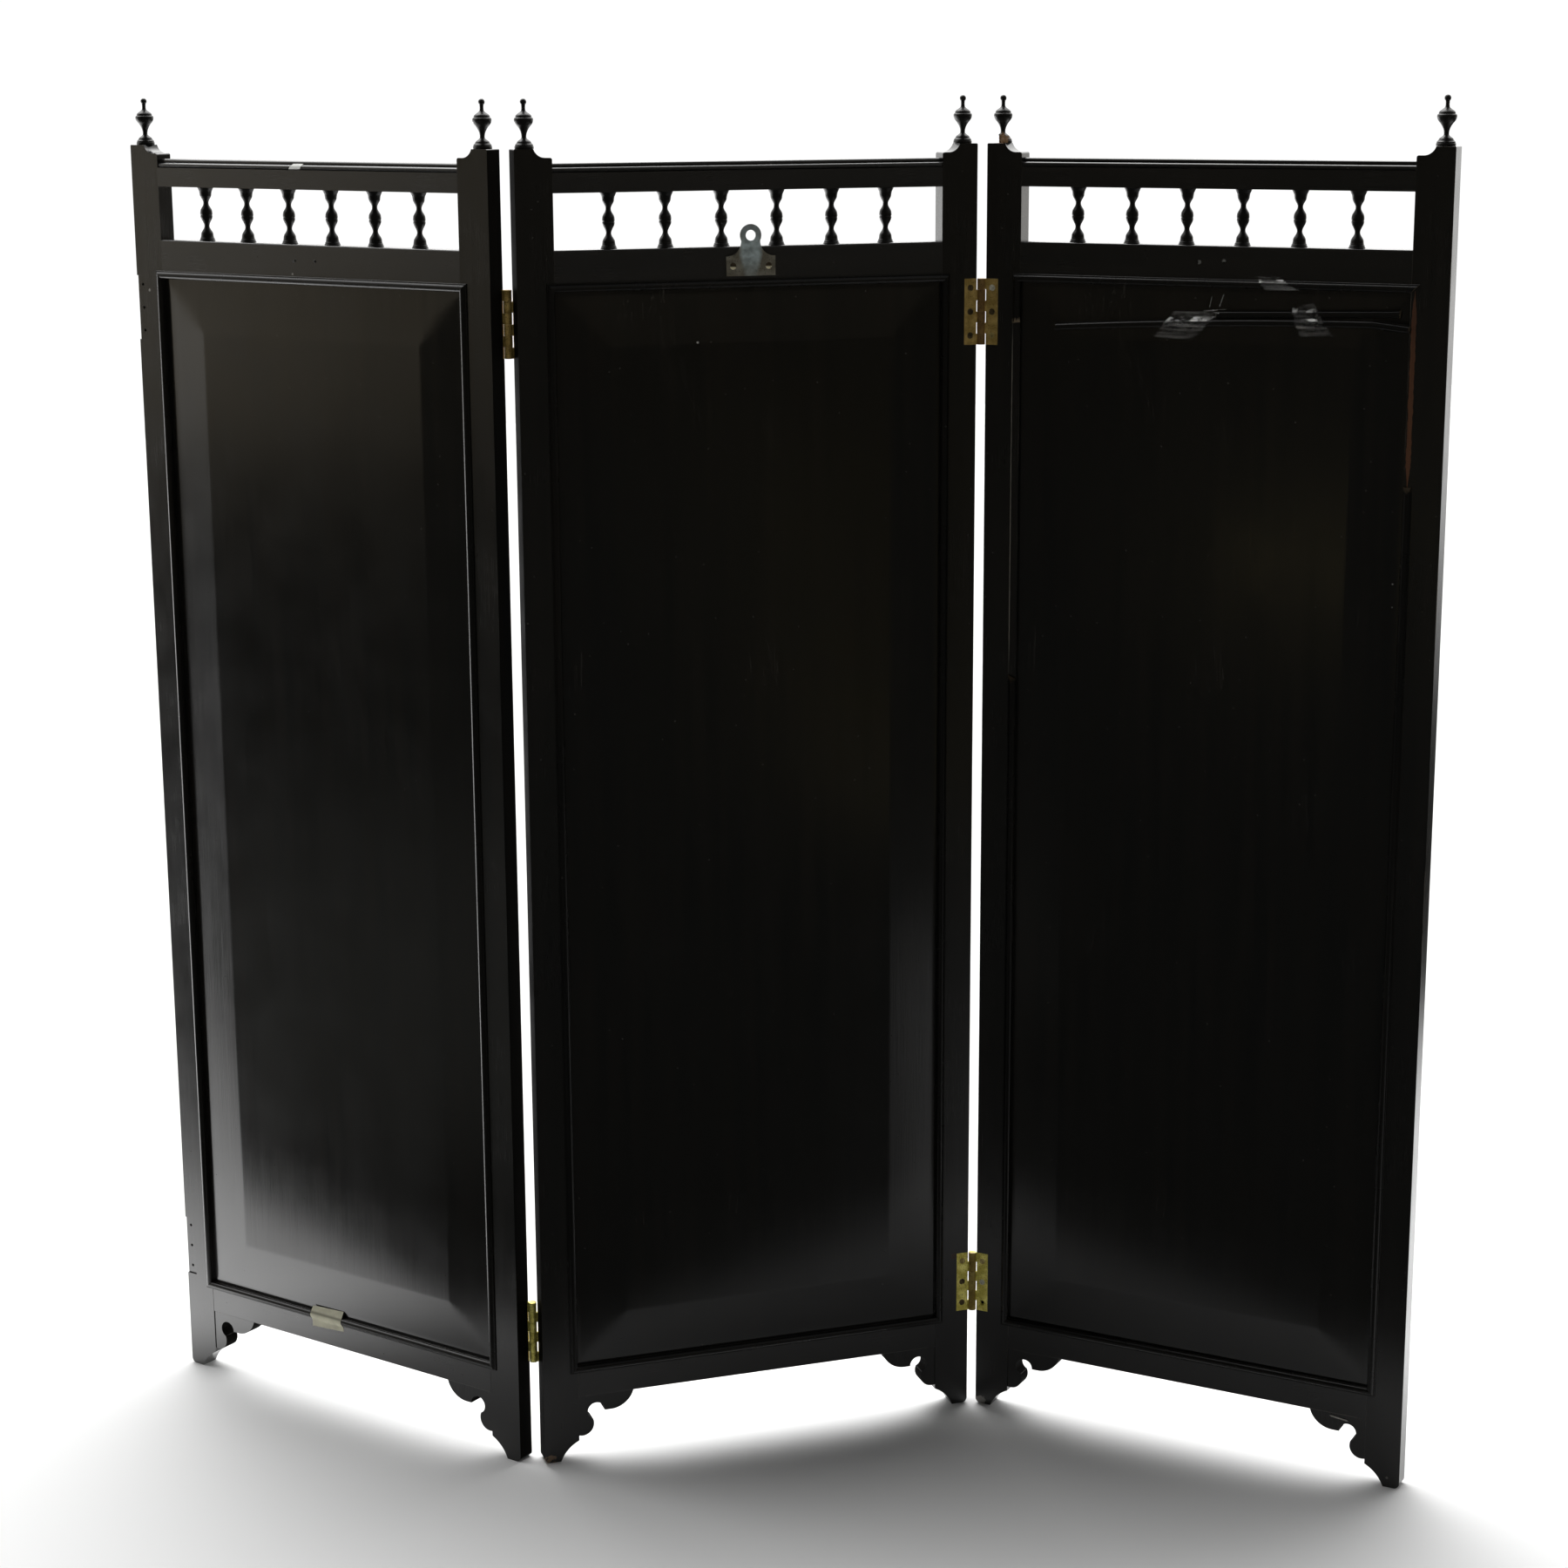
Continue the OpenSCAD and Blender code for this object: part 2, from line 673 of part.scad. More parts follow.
// Bead of the right leaf, with a length broken out of each upright strip
module broken_panel_bead() {
  difference() {
    panel_bead(short_break + bead_w);
    translate([0, -leaf_t, long_break_z]) cube([stile_w + eps, 2 * leaf_t, long_break]);
  }
}

// The two broken lengths, laid across the right panel. Their backs are parallel to
// its upper bevel: the long one lies on that bevel and on the right stile, and the
// short one on the bevel above it
bevel_slope = (lip_t - field_drop) / bevel_w;
function bevel_y(z) = field_drop + bevel_slope * (z - (panel_z1 - margin_w - bevel_w));

module loose_bead(length, place, lean) {
  color(black) translate(place) rotate([-atan(bevel_slope), -loose_tilt, lean])
    rotate([0, 90, 0]) linear_extrude(length) bead_section();
}

module loose_beads() {
  long_x = leaf_w - stile_w + loose_over - long_break;
  long_z = panel_z1 - loose_drop;
  short_x = leaf_w - stile_w - short_inset - short_break;
  short_z = long_z + (short_x - long_x) * tan(loose_tilt) + bead_w + loose_gap;
  loose_bead(long_break, [long_x, bevel_y(long_z) - loose_play, long_z],
    -asin(bevel_y(long_z) / long_break));
  loose_bead(short_break, [short_x, bevel_y(short_z) - loose_play, short_z],
    atan(bevel_slope * sin(loose_tilt)));
}

// Section of the bead that holds the mirror: an ovolo with a flat at the glass
module mirror_bead_section() {
  t = leaf_t - mirror_bead_y;
  w = rebate_w + mirror_bead_over;
  difference() {
    square([w, t]);
    difference() {
      translate([w - t + ovolo_flat, ovolo_flat]) square([t, t]);
      translate([w - t + ovolo_flat, ovolo_flat]) circle(t - ovolo_flat);
    }
  }
}

module mirror_bead() {
  x0 = stile_w - rebate_w + mitre_gap;
  z0 = panel_z0 - rebate_w + mitre_gap;
  w = leaf_w - 2 * x0;
  h = panel_z1 + rebate_w - mitre_gap - z0;
  color(black) translate([x0, mirror_bead_y, z0])
    mitred_frame(w, h, rebate_w + mirror_bead_over) mirror_bead_section();
}

// Hinge, drawn with its pin on the Z axis and the flap along +X, let into a face
// that lies at y = pin_proud
knuckle_h = hinge_len / knuckles;

// Countersunk hole through a plate of thickness t
module screw_hole_cut(t) {
  rotate([-90, 0, 0]) {
    translate([0, 0, -eps]) cylinder(h = t + 2 * eps, r = screw_r + screw_play);
    cylinder(h = t, r1 = screw_head_r + screw_play, r2 = screw_r + screw_play);
    translate([0, 0, -eps]) cylinder(h = eps, r = screw_head_r + screw_play);
  }
}

module flap(first, turns) {
  bore_r = pin_r + (turns ? pin_play : pin_fit);
  color(brass) difference() {
    union() {
      translate([pin_out, pin_proud, 0]) cube([flap_w, flap_t, hinge_len]);
      for (i = [first : 2 : knuckles - 1])
        translate([0, 0, i * knuckle_h + knuckle_gap / 2]) {
          cylinder(h = knuckle_h - knuckle_gap, r = knuckle_r);
          translate([0, pin_proud, 0])
            cube([pin_out + eps, flap_t, knuckle_h - knuckle_gap]);
        }
    }
    translate([0, 0, -eps]) cylinder(h = hinge_len + 2 * eps, r = bore_r);
    for (k = screw_rows)
      translate([pin_out + screw_x, pin_proud, k * hinge_len]) screw_hole_cut(flap_t);
  }
}

module pin() {
  color(brass) cylinder(h = hinge_len, r = pin_r);
}

// Places of the hinges, in a leaf's own drawing
module hinge_on_right_edge(face, z) {
  on_face(face) translate([leaf_w + pin_out, -pin_proud, z]) mirror([1, 0, 0]) children();
}

module hinge_on_left_edge(face, z) {
  on_face(face) translate([-pin_out, -pin_proud, z]) children();
}

// Countersunk screw with a head of height head_h, flush at the origin, driven along +Y
module wood_screw(head_h) {
  color(brass) rotate([-90, 0, 0]) difference() {
    union() {
      cylinder(h = head_h, r1 = screw_head_r, r2 = screw_r);
      cylinder(h = screw_len - screw_point, r = screw_r);
      translate([0, 0, screw_len - screw_point])
        cylinder(h = screw_point, r1 = screw_r, r2 = 0.2 * screw_r);
    }
    translate([-2 * screw_head_r, -slot_w / 2, -eps])
      cube([4 * screw_head_r, slot_w, eps + slot_d]);
  }
}

// Screws of the flaps at both heights; lost names one row of the lower hinge
module flap_screws(lost) {
  for (z = [lower_hinge_z, upper_hinge_z])
    for (k = [0 : len(screw_rows) - 1])
      if (!(z == lower_hinge_z && k == lost))
        translate([screw_x, 0, z + screw_rows[k] * hinge_len]) wood_screw(flap_t);
}

// Hanger plate: a base across the mid rail that sweeps up into a tongue, and an eye
// that stands above the rail
hanger_x = leaf_w / 2 - hanger_shift;
hanger_z = mid_rail_z1 - hanger_drop;
eye_z = mid_rail_z1 + eye_rise;

module hanger_screw_places() {
  for (side = [-1, 1])
    translate([hanger_x + side * hanger_pitch / 2, 0, hanger_z]) children();
}

module hanger_plate() {
  base_z0 = hanger_z - hanger_h / 2;
  base_z1 = hanger_z + hanger_h / 2;
  flare_r = (hanger_w - tongue_w) / 2 - hanger_flat;
  color(steel) difference() {
    board(-hanger_t, hanger_t) {
      difference() {
        translate([hanger_x - hanger_w / 2, base_z0])
          square([hanger_w, hanger_h + flare_r]);
        for (side = [-1, 1])
          translate([hanger_x + side * (hanger_w / 2 - hanger_flat), base_z1 + flare_r]) {
            circle(flare_r);
            translate([side > 0 ? 0 : -2 * hanger_flat, -flare_r])
              square([2 * hanger_flat, flare_r + eps]);
          }
      }
      translate([hanger_x - tongue_w / 2, hanger_z]) square([tongue_w, eye_z - hanger_z]);
      translate([hanger_x, eye_z]) circle(eye_rim_r);
    }
    translate([hanger_x, -hanger_t - eps, eye_z]) rotate([-90, 0, 0])
      cylinder(h = hanger_t + 2 * eps, r = eye_r);
    hanger_screw_places() translate([0, -hanger_t, 0]) screw_hole_cut(hanger_t);
  }
}

module hanger_screws() {
  hanger_screw_places() translate([0, -hanger_t, 0]) wood_screw(hanger_t);
}

// One module for each named piece
module left_stile_left() { left_leaf() stile("shown"); }
module left_stile_right() { left_leaf() other_side() stile("mirror"); }
module left_top_rail() { left_leaf() top_rail(); }
module left_mid_rail() { left_leaf() outer_mid_rail(); }
module left_bottom_rail() { left_leaf() bottom_rail(); }
module left_bracket_left() { left_leaf() bracket(); }
module left_bracket_right() { left_leaf() other_side() bracket(); }
module left_spindles() { left_leaf() spindles(); }
module left_finial_left() { left_leaf() finial(); }
module left_finial_right() { left_leaf() other_side() finial(); }
module left_back_panel() { left_leaf() back_panel(); }
module left_panel_bead() { left_leaf() panel_bead(); }
module left_mirror_plate() { left_leaf() mirror_plate(); }
module left_mirror_bead() { left_leaf() mirror_bead(); }

module centre_stile_left() { centre_leaf() stile("mirror"); }
module centre_stile_right() { centre_leaf() other_side() stile("shown"); }
module centre_top_rail() { centre_leaf() top_rail(); }
module centre_mid_rail() {
  centre_leaf() color(black) difference() {
    mid_rail();
    hanger_pilots();
  }
}
module centre_bottom_rail() { centre_leaf() bottom_rail(); }
module centre_bracket_left() { centre_leaf() bracket(); }
module centre_bracket_right() { centre_leaf() other_side() bracket(); }
module centre_spindles() { centre_leaf() spindles(); }
module centre_finial_left() { centre_leaf() finial(); }
module centre_finial_right() { centre_leaf() other_side() finial(); }
module centre_back_panel() { centre_leaf() back_panel(); }
module centre_panel_bead() { centre_leaf() panel_bead(); }
module centre_mirror_plate() { centre_leaf() mirror_plate(); }
module centre_mirror_bead() { centre_leaf() mirror_bead(); }

module right_stile_left() { right_leaf() stile("shown"); }
module right_stile_right() { right_leaf() other_side() stile("none"); }
module right_top_rail() { right_leaf() top_rail(); }
module right_mid_rail() { right_leaf() outer_mid_rail(); }
module right_bottom_rail() { right_leaf() bottom_rail(); }
module right_bracket_left() { right_leaf() bracket(); }
module right_bracket_right() { right_leaf() other_side() bracket(); }
module right_spindles() { right_leaf() spindles(); }
module right_finial_left() { right_leaf() finial(); }
module right_finial_right() { right_leaf() other_side() finial(); }
module right_back_panel() { right_leaf() back_panel(); }
module right_panel_bead() { right_leaf() broken_panel_bead(); }
module right_mirror_plate() { right_leaf() mirror_plate(); }
module right_mirror_bead() { right_leaf() mirror_bead(); }
module right_loose_beads() { right_leaf() loose_beads(); }

module left_upper_flap_outer() {
  left_leaf() hinge_on_right_edge("mirror", upper_hinge_z) flap(1, true);
}
module left_upper_flap_centre() {
  centre_leaf() hinge_on_left_edge("mirror", upper_hinge_z) flap(0, false);
}
module left_upper_pin() {
  centre_leaf() hinge_on_left_edge("mirror", upper_hinge_z) pin();
}
module left_lower_flap_outer() {
  left_leaf() hinge_on_right_edge("mirror", lower_hinge_z) flap(1, true);
}
module left_lower_flap_centre() {
  centre_leaf() hinge_on_left_edge("mirror", lower_hinge_z) flap(0, false);
}
module left_lower_pin() {
  centre_leaf() hinge_on_left_edge("mirror", lower_hinge_z) pin();
}
module right_upper_flap_outer() {
  right_leaf() hinge_on_left_edge("shown", upper_hinge_z) flap(1, true);
}
module right_upper_flap_centre() {
  centre_leaf() hinge_on_right_edge("shown", upper_hinge_z) flap(0, false);
}
module right_upper_pin() {
  centre_leaf() hinge_on_right_edge("shown", upper_hinge_z) pin();
}
module right_lower_flap_outer() {
  right_leaf() hinge_on_left_edge("shown", lower_hinge_z) flap(1, true);
}
module right_lower_flap_centre() {
  centre_leaf() hinge_on_right_edge("shown", lower_hinge_z) flap(0, false);
}
module right_lower_pin() {
  centre_leaf() hinge_on_right_edge("shown", lower_hinge_z) pin();
}

module left_leaf_screws() {
  left_leaf() other_side() on_face("mirror") flap_screws(-1);
}
module centre_leaf_screws() {
  centre_leaf() {
    on_face("mirror") flap_screws(-1);
    other_side() flap_screws(-1);
  }
}
module right_leaf_screws() { right_leaf() flap_screws(0); }
module centre_hanger() { centre_leaf() hanger_plate(); }
module centre_hanger_screws() { centre_leaf() hanger_screws(); }

left_stile_left();
left_stile_right();
left_top_rail();
left_mid_rail();
left_bottom_rail();
left_bracket_left();
left_bracket_right();
left_spindles();
left_finial_left();
left_finial_right();
left_back_panel();
left_panel_bead();
left_mirror_plate();
left_mirror_bead();
centre_stile_left();
centre_stile_right();
centre_top_rail();
centre_mid_rail();
centre_bottom_rail();
centre_bracket_left();
centre_bracket_right();
centre_spindles();
centre_finial_left();
centre_finial_right();
centre_back_panel();
centre_panel_bead();
centre_mirror_plate();
centre_mirror_bead();
right_stile_left();
right_stile_right();
right_top_rail();
right_mid_rail();
right_bottom_rail();
right_bracket_left();
right_bracket_right();
right_spindles();
right_finial_left();
right_finial_right();
right_back_panel();
right_panel_bead();
right_mirror_plate();
right_mirror_bead();
right_loose_beads();
left_upper_flap_outer();
left_upper_flap_centre();
left_upper_pin();
left_lower_flap_outer();
left_lower_flap_centre();
left_lower_pin();
right_upper_flap_outer();
right_upper_flap_centre();
right_upper_pin();
right_lower_flap_outer();
right_lower_flap_centre();
right_lower_pin();
left_leaf_screws();
centre_leaf_screws();
right_leaf_screws();
centre_hanger();  // hanger_plate
centre_hanger_screws();  // hanger_screws
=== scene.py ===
import json
from math import cos, pi, radians, sin

import bmesh
import bpy
import numpy as np
from mathutils import Matrix, Vector
from mathutils.bvhtree import BVHTree

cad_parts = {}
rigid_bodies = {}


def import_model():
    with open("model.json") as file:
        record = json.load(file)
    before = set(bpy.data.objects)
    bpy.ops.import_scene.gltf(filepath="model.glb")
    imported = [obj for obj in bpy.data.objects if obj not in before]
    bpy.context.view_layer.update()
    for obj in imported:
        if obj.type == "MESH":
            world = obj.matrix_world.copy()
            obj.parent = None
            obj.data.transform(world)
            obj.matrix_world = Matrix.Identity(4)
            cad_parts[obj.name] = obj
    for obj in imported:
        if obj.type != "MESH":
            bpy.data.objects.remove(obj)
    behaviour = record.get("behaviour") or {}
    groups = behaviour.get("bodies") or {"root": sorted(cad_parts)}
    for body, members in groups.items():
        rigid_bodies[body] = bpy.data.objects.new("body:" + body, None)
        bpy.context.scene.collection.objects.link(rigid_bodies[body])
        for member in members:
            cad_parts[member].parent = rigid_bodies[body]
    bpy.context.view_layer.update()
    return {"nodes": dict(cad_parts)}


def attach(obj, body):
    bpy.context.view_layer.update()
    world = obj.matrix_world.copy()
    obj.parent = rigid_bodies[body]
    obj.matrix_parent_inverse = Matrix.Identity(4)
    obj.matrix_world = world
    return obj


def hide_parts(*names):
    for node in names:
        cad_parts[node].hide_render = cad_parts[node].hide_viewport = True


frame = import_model()
scene = bpy.context.scene

# Camera: it stands to the left of the screen, a little above its tops, and looks
# down. Its place and its turn were fitted to the leaves' outlines.
CAMERA_AT = Vector((-1.1079, -3.3922, 1.6332))
CAMERA_YAW, CAMERA_DOWN, CAMERA_ROLL = 0.3216, 0.2268, 0.0051
LENS, SENSOR = 71.07, 36.0

camera_data = bpy.data.cameras.new("camera")
camera_data.lens = LENS
camera_data.sensor_width = SENSOR
camera_data.sensor_fit = "AUTO"
camera_data.clip_end = 200.0
camera = bpy.data.objects.new("camera", camera_data)
scene.collection.objects.link(camera)
look = Vector((sin(CAMERA_YAW) * cos(CAMERA_DOWN), cos(CAMERA_YAW) * cos(CAMERA_DOWN),
               -sin(CAMERA_DOWN)))
level_right = Vector((cos(CAMERA_YAW), -sin(CAMERA_YAW), 0.0))
level_up = level_right.cross(look)
right = level_right * cos(CAMERA_ROLL) - level_up * sin(CAMERA_ROLL)
up = level_right * sin(CAMERA_ROLL) + level_up * cos(CAMERA_ROLL)
turn = Matrix((right, up, -look)).transposed()
camera.matrix_world = Matrix.Translation(CAMERA_AT) @ turn.to_4x4()
scene.camera = camera
scene.view_settings.view_transform = "Standard"
scene.view_settings.look = "None"

# Studio: a white sheet under the screen and up behind it, lit by a wide soft box that
# hangs high behind the screen. The room in front is dim and a little warm.
FLOOR_SIZE = 22.0
FLOOR_WHITE = (0.86, 0.86, 0.86)
ROOM_BROWN = (0.038, 0.038, 0.035)
LIGHT_TINT = (1.0, 1.0, 0.995)
GLOW_WARM, GLOW_WHITE = (1.0, 0.86, 0.62), (1.0, 0.995, 0.985)
SOFT_BOX, SIDE_LIGHT, SHEET_LIGHT, ROOM_LIGHT = 8.0, 0.9, 1.75, 0.035
# Line on the floor, left of the screen, past which the gloss mirrors the lit sheet
LIT_LINE_X, LIT_LINE_Y, LIT_LINE_SLOPE = -1.03, 0.24, -0.68
LIT_LINE_BEND, LIT_LINE_BEND_X = 0.28, -1.4
LIT_NEAR, LIT_FAR = 1.2, 4.6
# Line on the floor where the sheet ends in front of the screen, and its right end
SHEET_END, SHEET_END_SLOPE = -0.42, -0.5
LIT_RIGHT = 1.3
# The sheet also reaches forward right of a line, and far left it is half lit
WEDGE_X, WEDGE_SLOPE = 0.13, 0.53
FAR_LEFT = 0.20
WARM_GLOW = (1.0, 0.82, 0.40)
FRONT_LIGHT, FAN_LIGHT = 0.06, 0.07
# Directions between which each light of the room starts and is full
BOX_UP, SIDE_OUT, SIDE_UP, SHEET_BACK = (0.45, 0.77), (0.2, 0.8), (0.1, 0.4), (-0.03, 0.45)
FRONT_BACK, FRONT_UP = (-0.5, -0.2), (-0.03, 0.05)
WHITE_BACK, WHITE_UP = (0.1, 0.4), (0.15, 0.35)
# Places on the floor between which each of its parts fades
LEFT_EDGE, LINE_EDGE, END_EDGE = (-0.85, -0.60), (-0.06, 0.06), (-0.12, 0.08)
NEAR_EDGE = (-2.2, -1.1)
WEDGE_EDGE, WEDGE_LEFT = (WEDGE_X - 0.06, WEDGE_X + 0.10), 0.55
FAR_LEFT_EDGE, FAR_RIGHT_EDGE, FAR_RIGHT_FADE = (-2.4, -1.9), (1.7, 2.6), (4.5, 9.0)
LIT_RIGHT_EDGE, LIT_RIGHT_NEAR, LIT_FADE = (0.75, 1.0), (-0.75, -0.45), (0.0, 0.45)
FAN_FROM, FAN_SIDE, FAN_END, FAN_NEAR = 0.2, (0.29, 0.37), (0.385, 0.41), (-5.0, -2.6)
# Place, turn, half sizes and strength of the warm glow painted on the floor, a stand-in for a lamp,
# that the right panel mirrors
LAMP_AT, LAMP_TURN = (-5.8, -3.45, 0.0), (0.0, 0.0, radians(26))
LAMP_SIZE, LAMP_LIGHT = (1.05, 0.34, 1.0), 0.95


class Field:
    """A number, colour, vector or shader that a node puts out. Sums, products and
    the like of fields and plain numbers add Math nodes."""

    def __init__(self, tree, socket):
        self.tree, self.socket = tree, socket

    def arithmetic(operation, swapped=False):
        """A method that adds a Math node for this field and another value."""
        def method(self, other=0.0):
            node = self.tree.nodes.new("ShaderNodeMath")
            node.operation = operation
            set_inputs(node, dict(enumerate((other, self) if swapped else (self, other))))
            return Field(self.tree, node.outputs[0])
        return method

    __add__, __radd__ = arithmetic("ADD"), arithmetic("ADD", True)
    __sub__, __rsub__ = arithmetic("SUBTRACT"), arithmetic("SUBTRACT", True)
    __mul__, __rmul__ = arithmetic("MULTIPLY"), arithmetic("MULTIPLY", True)
    __truediv__, __abs__ = arithmetic("DIVIDE"), arithmetic("ABSOLUTE")
    least, most = arithmetic("MINIMUM"), arithmetic("MAXIMUM")
    angle_from = arithmetic("ARCTAN2")

    def ranged(self, low, high, to_low=0.0, to_high=1.0, smooth=False):
        """Maps low..high to to_low..to_high, held at both ends."""
        node = self.tree.nodes.new("ShaderNodeMapRange")
        if smooth:
            node.interpolation_type = "SMOOTHSTEP"
        set_inputs(node, dict(enumerate((self, low, high, to_low, to_high))))
        return Field(self.tree, node.outputs["Result"])

    def mix(self, a, b):
        """Colour a where the field is 0 and b where it is 1."""
        return field(self.tree, "Mix", "Result", {"Factor": self, "A": a, "B": b}, data_type="RGBA")

    def parts(self):
        """The x, y and z of a vector."""
        node = add(self.tree, "SeparateXYZ", {0: self})
        return [Field(self.tree, socket) for socket in node.outputs]


def set_inputs(node, values):
    """Links fields to a node's inputs, and sets numbers, vectors and colours there."""
    for name, value in values.items():
        socket = node.inputs[name]
        if isinstance(value, Field):
            value.tree.links.new(value.socket, socket)
        else:
            is_colour = socket.type == "RGBA"
            socket.default_value = (*value, 1.0) if is_colour else value


def add(tree, kind, values={}, **settings):
    """A new node with its settings and the values of its inputs."""
    node = tree.nodes.new("ShaderNode" + kind)
    for name, value in settings.items():
        setattr(node, name, value)
    set_inputs(node, values)
    return node


def field(tree, kind, output, values={}, **settings):
    """What one output of a new node gives."""
    return Field(tree, add(tree, kind, values, **settings).outputs[output])


def emptied(block):
    """The block's node tree, with no nodes in it yet."""
    block.use_nodes = True
    block.node_tree.nodes.clear()
    return block.node_tree


def studio_world():
    """Light by direction: dim where the camera stands, a glowing sheet behind the
    screen, and brighter lights above it. The camera itself sees plain white."""
    scene.world = bpy.data.worlds.new("studio")
    tree = emptied(scene.world)
    x, y, z = field(tree, "TexCoord", "Generated").parts()
    gloss = field(tree, "LightPath", "Is Glossy Ray")
    box = abs(x.angle_from(y)).ranged(0, pi / 2, SOFT_BOX, 0) * z.ranged(*BOX_UP, smooth=True)
    side = x.ranged(*SIDE_OUT, 0, SIDE_LIGHT) * z.ranged(*SIDE_UP, smooth=True)
    sheet = gloss * y.ranged(*SHEET_BACK, 0, SHEET_LIGHT)
    front = gloss * (y.ranged(*FRONT_BACK, FRONT_LIGHT, 0) * z.ranged(*FRONT_UP))
    glow = y.ranged(*WHITE_BACK).most(z.ranged(*WHITE_UP)).mix(GLOW_WARM, GLOW_WHITE)
    light = field(tree, "Background", 0, {
        "Color": gloss.mix(LIGHT_TINT, glow),
        "Strength": box + (side + front) + (sheet + ROOM_LIGHT)})
    white = field(tree, "Background", 0, {"Color": (1, 1, 1), "Strength": 1.05})
    shown = field(tree, "MixShader", 0, {
        0: field(tree, "LightPath", "Is Camera Ray"), 1: light, 2: white})
    add(tree, "OutputWorld", {0: shown})


def floor_material():
    """White sheet. For glossy rays glow is painted on it: left of a slanting line and far from the
    screen a dim glow stands for the floor of the room, behind the line the sheet glows beyond
    white, and a few warm glowing spots stand for lights on that dim floor."""
    material = bpy.data.materials.new("sheet_of_paper")
    tree = emptied(material)
    place = field(tree, "NewGeometry", "Position")
    x, y, _ = place.parts()
    gloss = field(tree, "LightPath", "Is Glossy Ray")
    line = LIT_LINE_Y - LIT_LINE_SLOPE * LIT_LINE_X + x * LIT_LINE_SLOPE
    past_line = y - (line - LIT_LINE_BEND * (LIT_LINE_BEND_X - x).most(0.0))
    is_left = x.ranged(*LEFT_EDGE, 1, 0, smooth=True)
    off_sheet = is_left * past_line.ranged(*LINE_EDGE, 1, 0, smooth=True)
    in_front = y - (SHEET_END + x * SHEET_END_SLOPE)
    unlit = (x + y * WEDGE_SLOPE).ranged(*WEDGE_EDGE, 1, WEDGE_LEFT, smooth=True)
    unlit = unlit.most(y.ranged(*NEAR_EDGE, 1, 0, smooth=True))
    short = unlit * in_front.ranged(*END_EDGE, 1, 0, smooth=True)
    far_left = (x + 2.0 * (y - 0.25).most(0.0)).ranged(*FAR_LEFT_EDGE, 1, 0)
    far_right = x.ranged(*FAR_RIGHT_EDGE, smooth=True) * x.ranged(*FAR_RIGHT_FADE, 1, 0.3)
    off = gloss * off_sheet.most(short.most(far_left).most(far_right))
    strength = (gloss * is_left * past_line.ranged(*LIT_FADE, LIT_NEAR, LIT_FAR)
                + gloss * x.ranged(*LIT_RIGHT_EDGE, 0, LIT_RIGHT) * y.ranged(*LIT_RIGHT_NEAR))
    backwards = (y - 0.35) / (-0.58 - x)
    left_light = x.ranged(-2.9, -2.3, FAR_LEFT, 0) * backwards.ranged(0.17, 0.23, smooth=True)
    fan = (x - FAN_FROM) / (y * -1.0)
    fan_light = (fan.ranged(*FAN_SIDE, 0, FAN_LIGHT, smooth=True) * fan.ranged(*FAN_END, 1, 0)
                 * y.ranged(*FAN_NEAR, 1, 0, smooth=True))
    lamp = field(tree, "Mapping", 0, {
        "Vector": place, "Location": LAMP_AT, "Rotation": LAMP_TURN, "Scale": LAMP_SIZE},
        vector_type="TEXTURE")
    lamp = field(tree, "VectorMath", "Value", {0: lamp}, operation="LENGTH")
    warm = lamp.ranged(0.2, 1.0, LAMP_LIGHT, 0, smooth=True) + fan_light
    tinted = warm.ranged(0, 0.03).mix(ROOM_BROWN, WARM_GLOW)
    lights = warm + left_light
    dim = lights.ranged(0, 0.03, 1, 0) * (1.0 + x.ranged(-4.4, -3.0, 0, 2.6) * (
        x.ranged(-1.8, -1.2, 1, 0) * y.ranged(-0.8, -0.4)))
    room = field(tree, "Emission", 0, {
        "Color": left_light.ranged(0, 0.1).mix(tinted, (1, 1, 1)), "Strength": dim + lights})
    paper = field(tree, "BsdfDiffuse", 0, {"Color": FLOOR_WHITE})
    lit = field(tree, "AddShader", 0, {
        0: paper, 1: field(tree, "Emission", 0, {"Strength": strength})})
    add(tree, "OutputMaterial", {0: field(tree, "MixShader", 0, {0: off, 1: lit, 2: room})})
    return material


def make_floor():
    half = FLOOR_SIZE / 2
    mesh = bpy.data.meshes.new("floor")
    mesh.from_pydata([(-half, -half, 0), (half, -half, 0), (half, half, 0), (-half, half, 0)],
                     [], [(0, 1, 2, 3)])
    mesh.materials.append(floor_material())
    floor = bpy.data.objects.new("floor", mesh)
    scene.collection.objects.link(floor)


studio_world()
make_floor()

# Stiles, rails and foot brackets: solid wood, stained black and polished, joined by
# mortise and tenon. Their edges are a little rounded and rubbed, and the grain
# follows each piece's length.
LEAF_W, LEAF_T, LEAF_H = 0.545, 0.022, 1.550
STILE_W = 0.043
PIN_OUT, PIN_PROUD = 0.0056, 0.0008
# Turn of each leaf, its pin in the room, and the same pin in the leaf's own drawing
LEAVES = {
    "left": (radians(-52.5), (-0.300904, -0.00861029), (LEAF_W + PIN_OUT, LEAF_T + PIN_PROUD)),
    "centre": (0.0, (-0.295304, -0.0314103), (0.0, 0.0)),
    "right": (radians(-46.0), (0.255296, -0.0322103), (-PIN_OUT, -PIN_PROUD)),
}
EDGE_ROUND = 0.0007
UPRIGHT = ("stile_left", "stile_right", "bracket_left", "bracket_right")
ACROSS = ("top_rail", "mid_rail", "bottom_rail")
EBONY = (0.0027, 0.0028, 0.0025)
EBONY_BROWN = (0.0064, 0.0052, 0.0038)
RUBBED_EDGE = (0.075, 0.062, 0.045)
SCRATCH_GREY, SPECK_GREY = (0.11, 0.10, 0.085), (0.16, 0.15, 0.13)
SCRATCHED, SPECKLED, MARK_DULLS = 0.15, 0.25, 0.35


